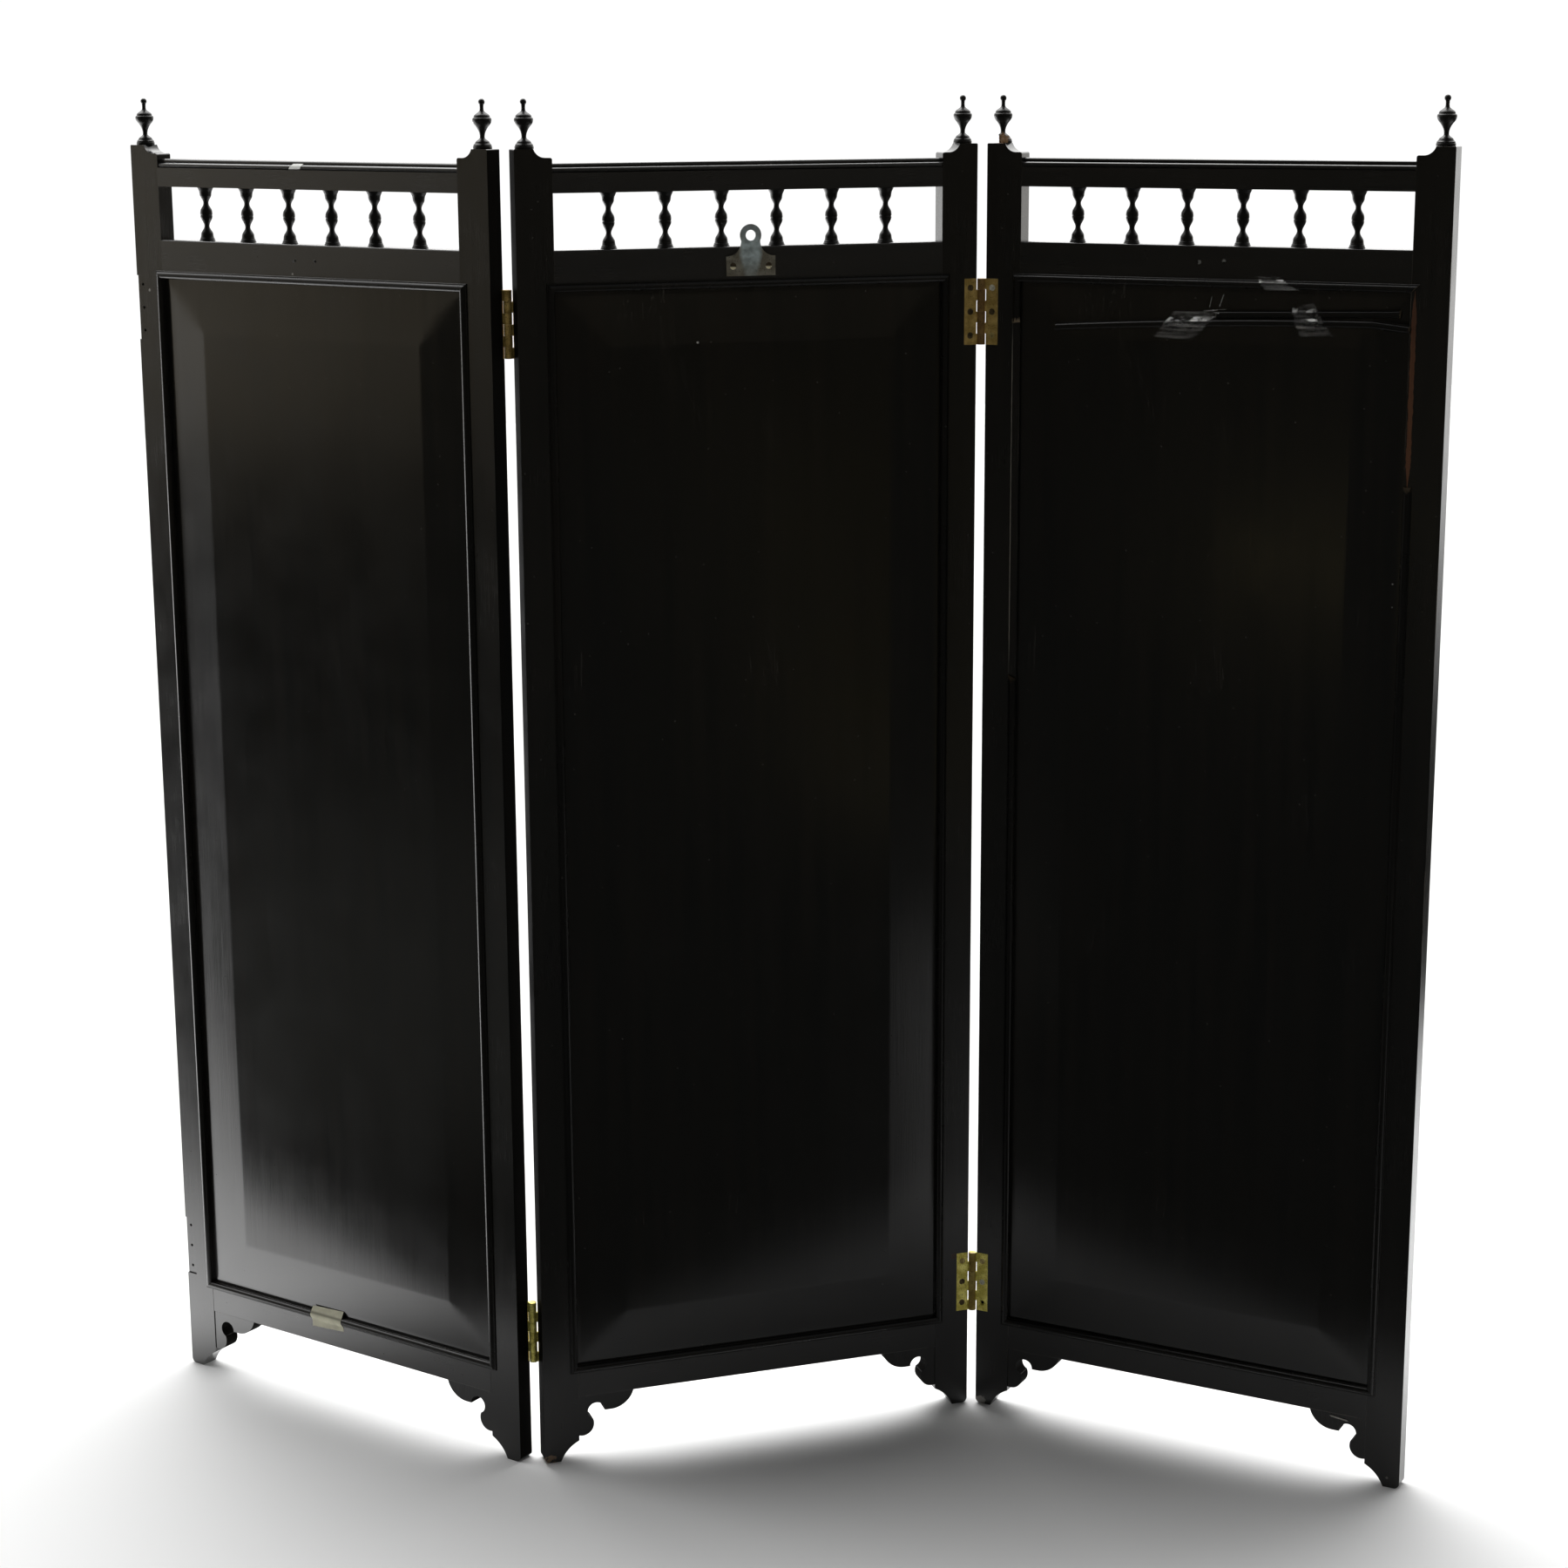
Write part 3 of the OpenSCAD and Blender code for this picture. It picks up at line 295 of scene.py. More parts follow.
def on_leaf(leaf, u, y, z):
    """Point of a leaf's drawing, u across and y into the wood, in the room: it is
    turned about the leaf's pin."""
    angle, pin, drawn = LEAVES[leaf]
    u, y, z = np.broadcast_arrays(*np.atleast_1d(u, y, z))
    across, deep = u - drawn[0], y - drawn[1]
    return np.stack([pin[0] + across * cos(angle) - deep * sin(angle),
                     pin[1] + across * sin(angle) + deep * cos(angle), z], axis=-1)


def pattern_group(name, *outputs):
    """A new node group that takes a place and puts out the named numbers."""
    group = bpy.data.node_groups.new(name, "ShaderNodeTree")
    group.interface.new_socket("Place", in_out="INPUT", socket_type="NodeSocketVector")
    for output in outputs:
        group.interface.new_socket(output, in_out="OUTPUT", socket_type="NodeSocketFloat")
    place = Field(group, group.nodes.new("NodeGroupInput").outputs["Place"])
    return group, place, group.nodes.new("NodeGroupOutput")


def noise(place, scale, detail=2.0, roughness=0.5):
    """Noise at a place; three scales stretch it along the axes."""
    if isinstance(scale, tuple):
        place = field(place.tree, "VectorMath", 0, {0: place, 1: scale}, operation="MULTIPLY")
        scale = 1.0
    return field(place.tree, "TexNoise", "Fac", {
        "Vector": place, "Scale": scale, "Detail": detail, "Roughness": roughness})


def wood_grain_group():
    """Grain along Z: noise stretched 25 times along the grain for the figure, and
    finer noise stretched 60 times for the pores."""
    group, place, result = pattern_group("wood_grain", "Figure", "Pores")
    set_inputs(result, {"Figure": noise(place, (70.0, 70.0, 2.5), 4.0, 0.6),
                        "Pores": noise(place, (900.0, 900.0, 14.0), 2.0, 0.6)})
    return group


def handling_group():
    """Marks of use: smears are broad noise, scratches are thin lines where a
    stretched and turned noise passes its middle value, specks are small dots."""
    group, place, result = pattern_group("handling", "Smears", "Scratches", "Specks")
    turned = field(group, "Mapping", 0, {
        "Vector": place, "Rotation": (0.0, radians(24), 0.0), "Scale": (150.0, 150.0, 5.0)})
    lines = abs(noise(turned, 1.0) - 0.5).ranged(0, 0.008, 1, 0)
    dots = field(group, "TexVoronoi", "Distance", {"Vector": place, "Scale": 55.0})
    set_inputs(result, {"Smears": noise(place, 14.0, 5.0).ranged(0.3, 0.7),
                        "Scratches": lines * noise(place, 9.0).ranged(0.58, 0.68),
                        "Specks": dots.ranged(0.025, 0.05, 1, 0)})
    return group


WOOD_GRAIN = wood_grain_group()
HANDLING = handling_group()


def pattern(group, place):
    """The numbers that a group gives at a place, in their order."""
    node = add(place.tree, "Group", {}, node_tree=group)
    set_inputs(node, {"Place": place})
    return [Field(place.tree, socket) for socket in node.outputs]


def leaf_place(tree, leaf, grain_across=False):
    """Object coordinates turned back into the leaf's drawing, so that a pattern
    follows the leaf. For a rail the drawing is tipped so the grain runs across."""
    angle, pin, drawn = LEAVES[leaf]
    place = field(tree, "Mapping", 0, {
        "Vector": field(tree, "TexCoord", "Object"), "Rotation": (0.0, 0.0, -angle),
        "Location": (drawn[0] - pin[0] * cos(angle) - pin[1] * sin(angle),
                     drawn[1] + pin[0] * sin(angle) - pin[1] * cos(angle), 0.0)})
    if grain_across:
        place = field(tree, "Mapping", 0, {"Vector": place, "Rotation": (0.0, pi / 2, 0.0)})
    return place


def principled(name):
    material = bpy.data.materials.new(name)
    material.use_nodes = True
    return material, material.node_tree, material.node_tree.nodes["Principled BSDF"]


def bumped(height, distance):
    return field(height.tree, "Bump", 0, {"Height": height, "Distance": distance})


def spot(place, centre, radius):
    """1 within a ragged round spot about a point (u, y, z) of the leaf, else 0."""
    away = field(place.tree, "VectorMath", 0, {0: place, 1: centre}, operation="SUBTRACT")
    away = field(place.tree, "VectorMath", "Value", {0: away}, operation="LENGTH")
    ragged = (noise(place, 2.0 / radius, 4.0) - 0.5) * (2.0 * radius)
    return (away + ragged).ranged(0.88 * radius, 1.06 * radius, 1, 0)


def ebonised_wood(name, leaf, grain_across=False, rubbed=False, gloss=0.20, coat=0.1,
                  bump=0.00006, spots=(), fine=0.0, smear=0.14, haze_and_light=0.0, ior=1.5):
    """Black stained wood under polish. The rubbed kind is for the rounded edges, where brown wood
    shows through in patches. spots are worn or marked places: a point, a radius and a colour. fine
    lets the pores show in the gloss, smear is how uneven it is, and haze_and_light is grey added to
    the colour: a faint even film on the stiles, and on the rails more of it on the left leaf than
    on the others, painted light that makes those rails lighter."""
    material, tree, shader = principled(name)
    place = leaf_place(tree, leaf, grain_across)
    figure, pores = pattern(WOOD_GRAIN, place)
    smears, scratches, specks = pattern(HANDLING, place)
    colour = figure.ranged(0.35, 0.75, 0, 0.8).mix(
        *(tuple(part + haze_and_light for part in tone) for tone in (EBONY, EBONY_BROWN)))
    colour = (scratches * SCRATCHED).mix(colour, SCRATCH_GREY)
    colour = (specks * SPECKLED).mix(colour, SPECK_GREY)
    rough = smears.ranged(0, 1, gloss - 0.36 * smear, gloss + 0.64 * smear)
    if rubbed:
        worn = smears.ranged(0.35, 0.85)
        colour = worn.mix(colour, RUBBED_EDGE)
        rough = worn.ranged(0, 1, gloss, 0.5)
    if fine:
        rough = rough + pores.ranged(0.4, 0.62, 0, fine)
    for centre, radius, tone in spots:
        mark = spot(leaf_place(tree, leaf), centre, radius)
        colour = mark.mix(colour, tone)
        rough = rough + mark * MARK_DULLS
    set_inputs(shader, {"Base Color": colour, "Roughness": rough, "IOR": ior,
                        "Coat Weight": coat, "Coat Roughness": 0.10,
                        "Normal": bumped(figure + pores * 0.6, bump)})
    return material


def dull_wood(name, leaf):
    """The same black stain on edges that were sawn or that meet another leaf, with
    hardly any polish on it."""
    return ebonised_wood(name, leaf, gloss=0.6, coat=0.0, ior=1.05)


def mark_faces(piece, leaf, index, chosen):
    """Gives a material index to the faces that chosen(centre, normal) picks, both
    in the leaf's drawing."""
    angle, pin, drawn = LEAVES[leaf]
    back = Matrix.Rotation(-angle, 3, "Z")
    for face in piece.data.polygons:
        centre = back @ (face.center - Vector((*pin, 0.0))) + Vector((*drawn, 0.0))
        if chosen(centre, back @ face.normal):
            face.material_index = index


def merged_copy(node, name):
    """The CAD node's mesh, its doubles merged and its flat faces joined, as a new
    object at the origin."""
    mesh = frame["nodes"][node].data.copy()
    mesh.name = name
    mesh.materials.clear()
    shell = bmesh.new()
    shell.from_mesh(mesh)
    bmesh.ops.remove_doubles(shell, verts=shell.verts, dist=1e-6)
    bmesh.ops.dissolve_limit(shell, angle_limit=radians(0.3), verts=shell.verts,
                             edges=shell.edges)
    for face in shell.faces:
        face.smooth = True
    shell.to_mesh(mesh)
    shell.free()
    piece = bpy.data.objects.new(name, mesh)
    scene.collection.objects.link(piece)
    return piece


def round_edges(piece, width, segments=2, angle=32, rubbed_slot=True):
    bevel = piece.modifiers.new("rounded_edges", "BEVEL")
    bevel.width = width
    bevel.segments = segments
    bevel.limit_method = "ANGLE"
    bevel.angle_limit = radians(angle)
    bevel.use_clamp_overlap = True
    if rubbed_slot:
        bevel.material = 1
    weight = piece.modifiers.new("flat_faces", "WEIGHTED_NORMAL")
    weight.keep_sharp = True
    weight.weight = 80


RAW_WOOD = (0.16, 0.105, 0.06)
PALE_MARK = (0.22, 0.21, 0.19)
# The near black tone below is painted shade: it stands in for the dark inside the old screw holes
# on the left leaf's mid rail.
HOLE_SHADE = (0.0008, 0.0008, 0.0008)
UPRIGHT_SPOTS = {
    "left": [((0.020, 0.0, 1.38), 0.0016, PALE_MARK)],
    "centre": [((0.006, 0.008, 0.003), 0.010, RAW_WOOD),
               ((0.526, 0.0, 0.197), 0.004, (0.030, 0.014, 0.009))],
    "right": [((0.006, 0.004, 0.002), 0.009, PALE_MARK),
              ((0.530, 0.0, 0.012), 0.0016, (0.09, 0.088, 0.08))]}
RAIL_SPOTS = {
    "left": [((0.2539, 0.0, 1.4206), 0.0018, HOLE_SHADE), ((0.2863, 0.0, 1.4220), 0.0018, HOLE_SHADE),
             ((0.2517, 0.0, 1.4061), 0.0012, PALE_MARK)],
    "centre": [((0.262, 0.004, 1.5275), 0.0022, PALE_MARK),
               ((0.297, 0.004, 1.5290), 0.0014, PALE_MARK)],
    "right": [((0.2593, 0.0, 1.4217), 0.0022, (0.07, 0.07, 0.06)),
              ((0.2882, 0.0, 1.4234), 0.0022, (0.07, 0.07, 0.06))]}


def is_between_leaves(centre, normal):
    return abs(normal.x) > 0.9 and (centre.x < 0.001 or centre.x > LEAF_W - 0.001)


def is_sawn(centre, normal):
    return abs(normal.y) < 0.5


def raw_wood(name, leaf, dark, light, grain_across=False):
    """Bare wood where a piece broke or was torn away: two browns along the grain."""
    material, tree, shader = principled(name)
    figure, pores = pattern(WOOD_GRAIN, leaf_place(tree, leaf, grain_across))
    set_inputs(shader, {"Base Color": figure.ranged(0.35, 0.65).mix(dark, light),
                        "Roughness": pores.ranged(0.3, 0.7, 0.55, 0.85), "IOR": 1.2,
                        "Normal": bumped(pores, 0.0002)})
    return material


# Grey added to the rails' black, most on the left leaf and least on the right: painted light that
# makes the left leaf's rails lighter. The stiles get a faint even film.
RAIL_HAZE_AND_LIGHT = {"left": 0.014, "centre": 0.005, "right": 0.002}
STILE_HAZE = 0.0005
for leaf in LEAVES:
    materials = {
        across: (ebonised_wood(f"ebonised_{leaf}_{word}", leaf, across, spots=spots[leaf],
                               fine=0.05, smear=0.08,
                               haze_and_light=RAIL_HAZE_AND_LIGHT[leaf] if across else STILE_HAZE),
                 ebonised_wood(f"rubbed_{leaf}_{word}", leaf, across, rubbed=True,
                               spots=spots[leaf]),
                 dull_wood(f"dull_{leaf}_{word}", leaf))
        for across, word, spots in ((False, "upright", UPRIGHT_SPOTS), (True, "rail", RAIL_SPOTS))}
    for part in UPRIGHT + ACROSS:
        node = f"{leaf}_{part}"
        piece = merged_copy(node, f"{node}_wood")
        for material in materials[part in ACROSS]:
            piece.data.materials.append(material)
        if part.startswith("stile") and (leaf, part) not in (
                ("left", "stile_left"), ("right", "stile_right")):
            mark_faces(piece, leaf, 2, is_between_leaves)
        if part.startswith("bracket"):
            mark_faces(piece, leaf, 2, is_sawn)
        round_edges(piece, EDGE_ROUND)
        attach(piece, f"{leaf}_leaf")
        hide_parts(node)

# Fielded panels: one board for each leaf, planed down on all four edges to a wide
# flat bevel round a raised field. The arrises are soft and the polish is smooth.
PANEL_EDGE = 0.0355
PANEL_Z0, PANEL_Z1 = 0.113, 1.4015
PANEL_FRONT, PANEL_LOW, PANEL_BACK = 0.0005, 0.004, 0.010
BEVEL_FOOT, BEVEL_HEAD = 0.0125, 0.0695
ARRIS_SOFT, MITRE_SOFT = 0.010, 0.0009
WAVE = 0.00007


def grid_faces(rows, cols, closed_cols=False):
    """Quads between the rows and columns of a grid of points."""
    i = np.arange(rows - 1)[:, None]
    j = np.arange(cols if closed_cols else cols - 1)[None, :]
    a, b = i * cols + j, i * cols + (j + 1) % cols
    return np.stack([a, b, b + cols, a + cols], axis=-1).reshape(-1, 4)


def new_piece(name, points, faces, materials, smooth_angle=40):
    """A mesh object at the origin from points and faces: doubles merged, faces
    turned outwards, and edges sharper than the angle kept sharp."""
    mesh = bpy.data.meshes.new(name)
    mesh.from_pydata(np.asarray(points, float).reshape(-1, 3).tolist(), [],
                     [tuple(int(v) for v in face) for face in faces])
    shell = bmesh.new()
    shell.from_mesh(mesh)
    bmesh.ops.remove_doubles(shell, verts=shell.verts, dist=1e-7)
    bmesh.ops.recalc_face_normals(shell, faces=shell.faces)
    shell.to_mesh(mesh)
    shell.free()
    mesh.shade_smooth()
    mesh.set_sharp_from_angle(angle=radians(smooth_angle))
    for material in materials:
        mesh.materials.append(material)
    piece = bpy.data.objects.new(name, mesh)
    scene.collection.objects.link(piece)
    return piece


def soft_ramp(t, soft):
    """0 below t = 0 and 1 above t = 1, straight between, with both corners rounded
    by softplus curves."""
    def softplus(x):
        return soft * np.logaddexp(0.0, x / soft)
    return softplus(t) - softplus(t - 1.0)


def edge_stations(length):
    """Distances across the panel: close together at its arrises, and even over
    the field."""
    near = np.array([0, 5, 9, 11, 12, 12.6, 13.4, 15, 18, 24, 32, 42, 52, 60, 65,
                     67.5, 69, 70, 71.5, 74, 80]) / 1000
    inside = np.linspace(near[-1], length - near[-1], int(length / 0.03))[1:-1]
    return np.concatenate([near, inside, length - near[::-1]])


def panel_surface(leaf, seed):
    """Front of the panel: its depth falls from the tongue's face to the field with
    the distance from the nearest edge, and long shallow waves lie over it."""
    width, height = LEAF_W - 2 * PANEL_EDGE, PANEL_Z1 - PANEL_Z0
    u, z = np.meshgrid(edge_stations(width), edge_stations(height))
    side = np.minimum(u, width - u)
    level = np.minimum(z, height - z)
    edge = -MITRE_SOFT * np.logaddexp(-side / MITRE_SOFT, -level / MITRE_SOFT)
    raised = soft_ramp((edge - BEVEL_FOOT) / (BEVEL_HEAD - BEVEL_FOOT), ARRIS_SOFT)
    draw = np.random.default_rng(seed)
    waves = np.zeros_like(u)
    for length_u, length_z in ((0.31, 0.9), (0.17, 0.55), (0.11, 0.38), (0.23, 0.21)):
        phase = draw.uniform(0, 2 * pi, 2)
        waves += np.sin(2 * pi * u / length_u + phase[0]) * np.sin(2 * pi * z / length_z + phase[1])
    depth = PANEL_LOW - (PANEL_LOW - PANEL_FRONT) * raised + WAVE * waves * raised / 2
    front = on_leaf(leaf, PANEL_EDGE + u, depth, PANEL_Z0 + z)
    back = on_leaf(leaf, PANEL_EDGE + u, PANEL_BACK, PANEL_Z0 + z)
    return front, back


def closed_plate(front, back):
    """Two grids of the same size, joined round their rims."""
    rows, cols = front.shape[:2]
    count = rows * cols
    faces = grid_faces(rows, cols)
    rim = np.concatenate([np.arange(cols), np.arange(1, rows) * cols + cols - 1,
                          (rows - 1) * cols + np.arange(cols - 2, -1, -1),
                          np.arange(rows - 2, 0, -1) * cols])
    ahead = np.roll(rim, -1)
    skirt = np.stack([rim, ahead, ahead + count, rim + count], axis=-1)
    return (np.concatenate([front.reshape(-1, 3), back.reshape(-1, 3)]),
            np.concatenate([faces, faces[:, ::-1] + count, skirt]))


PANEL_SPOTS = {
    "left": [],
    "centre": [((0.2075, 0.0005, 1.334), 0.0013, PALE_MARK)],
    "right": [((0.4932, 0.003, 1.074), 0.0011, PALE_MARK),
              ((0.4936, 0.003, 1.048), 0.0009, PALE_MARK),
              ((0.0905, 0.0005, 0.63), 0.0010, PALE_MARK)]}
for seed, leaf in enumerate(LEAVES):
    node = f"{leaf}_back_panel"
    material = ebonised_wood(f"ebonised_{leaf}_panel", leaf, gloss=0.16, coat=0.1,
                             fine=0.025, smear=0.05, bump=0.00006, spots=PANEL_SPOTS[leaf])
    panel = new_piece(f"{node}_fielded", *closed_plate(*panel_surface(leaf, seed)), [material])
    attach(panel, f"{leaf}_leaf")
    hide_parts(node)

# Planted beads: four strips round each panel opening, a low fillet and a round
# nose, mitred at the corners and glued to the frame. The right leaf has lost a
# length from each of its upright strips.
BEAD_W, BEAD_R, FILLET = 0.0095, 0.00425, 0.0015
BEAD_BOX = (0.0335, LEAF_W - 0.0335, 0.111, 1.4035)
MITRE_GAP = 0.00005
BREAKS_LEFT = (0.931, 1.349)
BREAK_RIGHT = 1.182
BREAK_JAG = 0.004
BEAD_SMOOTH = 35


def bead_section(points=16):
    """Closed outline of the bead as (distance from its outer edge, depth): a low
    fillet, then an arc that ends at the opening's edge."""
    middle = BEAD_W - BEAD_R
    start = pi - np.arcsin(FILLET / BEAD_R)
    arc = np.linspace(start, 0.0, points)
    nose = np.stack([middle + BEAD_R * np.cos(arc), -BEAD_R * np.sin(arc)], axis=-1)
    return np.concatenate([[[0.0, 0.0], [0.0, -0.8 * FILLET], [0.2 * FILLET, -FILLET]], nose])


def mitred_strip(leaf, side, box, section, low=None, high=None, stations=24, seed=0):
    """A section carried along one side of a box: each point of it runs between the
    two mitres, or to a splintered break at a height given for it."""
    u0, u1, z0, z1 = box
    inset, depth = section[:, 0], section[:, 1]
    start, end = (z0, z1) if side in ("left", "right") else (u0, u1)
    draw = np.random.default_rng(seed)
    starts = start + inset + MITRE_GAP
    ends = end - inset - MITRE_GAP
    if low is not None:
        starts = low + BREAK_JAG * draw.uniform(-1, 1, len(inset)) - depth * 0.8
    if high is not None:
        ends = high + BREAK_JAG * draw.uniform(-1, 1, len(inset)) + depth * 0.8
    share = np.linspace(0, 1, stations)[:, None]
    along = starts + (ends - starts) * share
    across = np.broadcast_to(inset, along.shape)
    deep = np.broadcast_to(depth, along.shape)
    if side in ("left", "right"):
        return on_leaf(leaf, u0 + across if side == "left" else u1 - across, deep, along)
    return on_leaf(leaf, along, deep, z0 + across if side == "bottom" else z1 - across)


def joined_tubes(grids):
    """Closed solids from grids whose rows are closed outlines, with flat ends."""
    points, faces, count = [], [], 0
    for grid in grids:
        rows, cols = grid.shape[:2]
        points.append(grid.reshape(-1, 3))
        faces += [tuple(f) for f in grid_faces(rows, cols, closed_cols=True) + count]
        faces.append(tuple(range(count, count + cols)))
        faces.append(tuple(range(count + (rows - 1) * cols, count + rows * cols)))
        count += rows * cols
    return np.concatenate(points), faces


def mark_ends(piece):
    """The end faces of the lengths, the only ones with many corners, are bare."""
    for face in piece.data.polygons:
        if len(face.vertices) > 4:
            face.material_index = 1


BROKEN_DARK, BROKEN_LIGHT = (0.035, 0.026, 0.015), (0.10, 0.076, 0.048)
for leaf in LEAVES:
    node = f"{leaf}_panel_bead"
    section = bead_section()
    strips = [mitred_strip(leaf, side, BEAD_BOX, section) for side in ("bottom", "top")]
    if leaf == "right":
        strips += [
            mitred_strip(leaf, "left", BEAD_BOX, section, high=BREAKS_LEFT[0], seed=1),
            mitred_strip(leaf, "left", BEAD_BOX, section, low=BREAKS_LEFT[1], stations=6, seed=2),
            mitred_strip(leaf, "right", BEAD_BOX, section, high=BREAK_RIGHT, seed=3)]
    else:
        strips += [mitred_strip(leaf, side, BEAD_BOX, section) for side in ("left", "right")]
    material = ebonised_wood(f"ebonised_{leaf}_bead", leaf, gloss=0.24, coat=0.0,
                             bump=0.000015, ior=1.34)
    raw = raw_wood(f"broken_{leaf}_bead", leaf, BROKEN_DARK, BROKEN_LIGHT)
    bead = new_piece(f"{node}_strips", *joined_tubes(strips), [material, raw], BEAD_SMOOTH)
    mark_ends(bead)
    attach(bead, f"{leaf}_leaf")
    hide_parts(node)

# Mirror beads: the same kind of frame behind, an ovolo that holds the mirror plate
# in its rebate.
MIRROR_BEAD_W, MIRROR_BEAD_Y, OVOLO_FLAT = 0.010, 0.0143, 0.0012
MIRROR_BEAD_BOX = (0.0351, LEAF_W - 0.0351, 0.1126, 1.4019)


def ovolo_section(points=12):
    """Closed outline: flat against the plate and the rebate, a quarter round, and a
    small flat at the glass."""
    thick = LEAF_T - MIRROR_BEAD_Y
    radius = thick - OVOLO_FLAT
    arc = np.linspace(pi / 2, 0.0, points)
    centre_w = MIRROR_BEAD_W - radius
    nose = np.stack([centre_w + radius * np.cos(arc),
                     MIRROR_BEAD_Y + OVOLO_FLAT + radius * np.sin(arc)], axis=-1)
    return np.concatenate([[[0.0, MIRROR_BEAD_Y], [0.0, LEAF_T]], nose,
                           [[MIRROR_BEAD_W, MIRROR_BEAD_Y]]])


for leaf in LEAVES:
    node = f"{leaf}_mirror_bead"
    strips = [mitred_strip(leaf, side, MIRROR_BEAD_BOX, ovolo_section())
              for side in ("bottom", "top", "left", "right")]
    material = ebonised_wood(f"ebonised_{leaf}_mirror_bead", leaf)
    bead = new_piece(f"{node}_strips", *joined_tubes(strips), [material], BEAD_SMOOTH)
    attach(bead, f"{leaf}_leaf")
    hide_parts(node)

# Spindles and finials: turned on a lathe from the same wood, polished while they
# spun, so their fine scratches run round. Each has a round peg in its hole.
GALLERY_Z, GALLERY_H = 1.440, 0.062
SPINDLE_R, SPINDLES = 0.0092, 6
FINIAL_R, FINIAL_H, FINIAL_X = 0.0106, 0.054, 0.0145
FINIAL_BALL_R = 0.0036
PEG_R, SPINDLE_PEG, FINIAL_PEG = 0.0035, 0.008, 0.014
TURNED_AROUND, TURNED_SMOOTH = 48, 50
# A broken foot is lost down to a core of this radius, give or take
SPLIT_CORE, SPLIT_JAG, SPLIT_TURN = 0.0041, 0.0009, radians(20)


def ogee(a, b, n):
    """From a to b, steep at both ends."""
    t = np.arange(n) / n
    return np.stack([a[0] + (b[0] - a[0]) * (1 - np.cos(pi * t)) / 2,
                     a[1] + (b[1] - a[1]) * t], axis=-1)


def flared(a, b, n):
    """A parabola from a to b that starts along the axis and flares."""
    t = np.arange(n) / n
    return np.stack([a[0] + (b[0] - a[0]) * t ** 2, a[1] + (b[1] - a[1]) * t], axis=-1)


def bowled(a, b, n):
    """A parabola from a to b that flares and ends along the axis."""
    t = np.arange(n) / n
    return np.stack([b[0] + (a[0] - b[0]) * (1 - t) ** 2, a[1] + (b[1] - a[1]) * t], axis=-1)


def spindle_profile():
    """Radius and height as shares: a ringed urn, a waist, a belly with a groove round
    it, and a second waist that flares into the rail."""
    return np.concatenate([
        [[1, 0], [1, 0.012], [0.97, 0.018], [0.92, 0.028], [0.91, 0.046], [0.885, 0.053],
         [0.83, 0.06], [0.81, 0.066], [0.82, 0.072], [0.81, 0.086], [0.785, 0.09], [0.79, 0.1]],
        ogee([0.77, 0.12], [0.32, 0.275], 16),
        ogee([0.32, 0.275], [0.76, 0.465], 20),
        [[0.76, 0.465], [0.735, 0.474], [0.72, 0.482], [0.74, 0.489], [0.765, 0.498],
         [0.77, 0.512], [0.765, 0.528]],
        ogee([0.745, 0.548], [0.325, 0.7], 16),
        ogee([0.325, 0.71], [0.73, 0.868], 18),
        [[0.73, 0.868], [0.785, 0.92], [0.81, 0.93], [0.85, 0.942], [0.89, 0.954], [0.92, 0.966],
         [0.955, 0.976], [1, 0.988], [1, 1]]])


def finial_profile():
    """A disc, a swept foot, a neck, a bowl with a grooved rim, a domed lid, a stem
    and the ball."""
    ball = np.radians(np.arange(-50, 90, 10))
    return np.concatenate([
        np.concatenate([
            [[0.97, 0], [0.99, 0.005], [1, 0.012], [1, 0.045], [0.985, 0.053], [0.955, 0.06],
             [0.945, 0.072], [0.94, 0.086], [0.90, 0.091], [0.86, 0.098], [0.78, 0.118]],
            ogee([0.75, 0.125], [0.255, 0.23], 16),
            flared([0.255, 0.24], [0.67, 0.45], 12),
            bowled([0.67, 0.45], [1, 0.58], 12),
            [[1, 0.58], [0.998, 0.59], [0.985, 0.603], [0.955, 0.612], [0.915, 0.62], [0.86, 0.624],
             [0.84, 0.628], [0.84, 0.642]],
            ogee([0.84, 0.645], [0.215, 0.775], 16),
            [[0.215, 0.775], [0.2, 0.8], [0.2, 0.84], [0.215, 0.87]]]) * [FINIAL_R, FINIAL_H],
        np.stack([FINIAL_BALL_R * np.cos(ball),
                  FINIAL_H - FINIAL_BALL_R * (1 - np.sin(ball))], axis=-1)])


def turned_piece(leaf, u, z, profile, broken=False):
    """The profile carried round an upright axis at (u, middle of the leaf). A broken
    foot has lost its left and front, down to a splintered core."""
    angle = np.linspace(0, 2 * pi, TURNED_AROUND, endpoint=False)
    radius, height = profile[:, :1], profile[:, 1:]
    if broken:
        draw = np.random.default_rng(5)
        lost = np.clip(1.4 * (0.25 - np.cos(angle - SPLIT_TURN)), 0, 1)
        core = SPLIT_CORE + SPLIT_JAG * draw.uniform(-1, 1, (len(profile), TURNED_AROUND))
        foot = np.clip((0.2 * FINIAL_H - height) / 0.002, 0, 1) * (height > 0)
        radius = radius - (radius - np.minimum(radius, core)) * lost * foot
    return on_leaf(leaf, u + radius * np.cos(angle), LEAF_T / 2 + radius * np.sin(angle),
                   z + height + 0 * angle)


def with_pegs(profile, low, high=None):
    """The profile with a peg below it, and one above it where high is given."""
    parts = [[[PEG_R, low], [PEG_R, profile[0, 1]]], profile]
    if high is not None:
        parts.append([[PEG_R, profile[-1, 1]], [PEG_R, high]])
    return np.concatenate(parts)


def turned_material(name, leaf, spots=()):
    """Ebonised wood with a duller polish than the flat work."""
    return ebonised_wood(name, leaf, gloss=0.36, coat=0.0, bump=0.00001, smear=0.05,
                         spots=spots, ior=1.32)


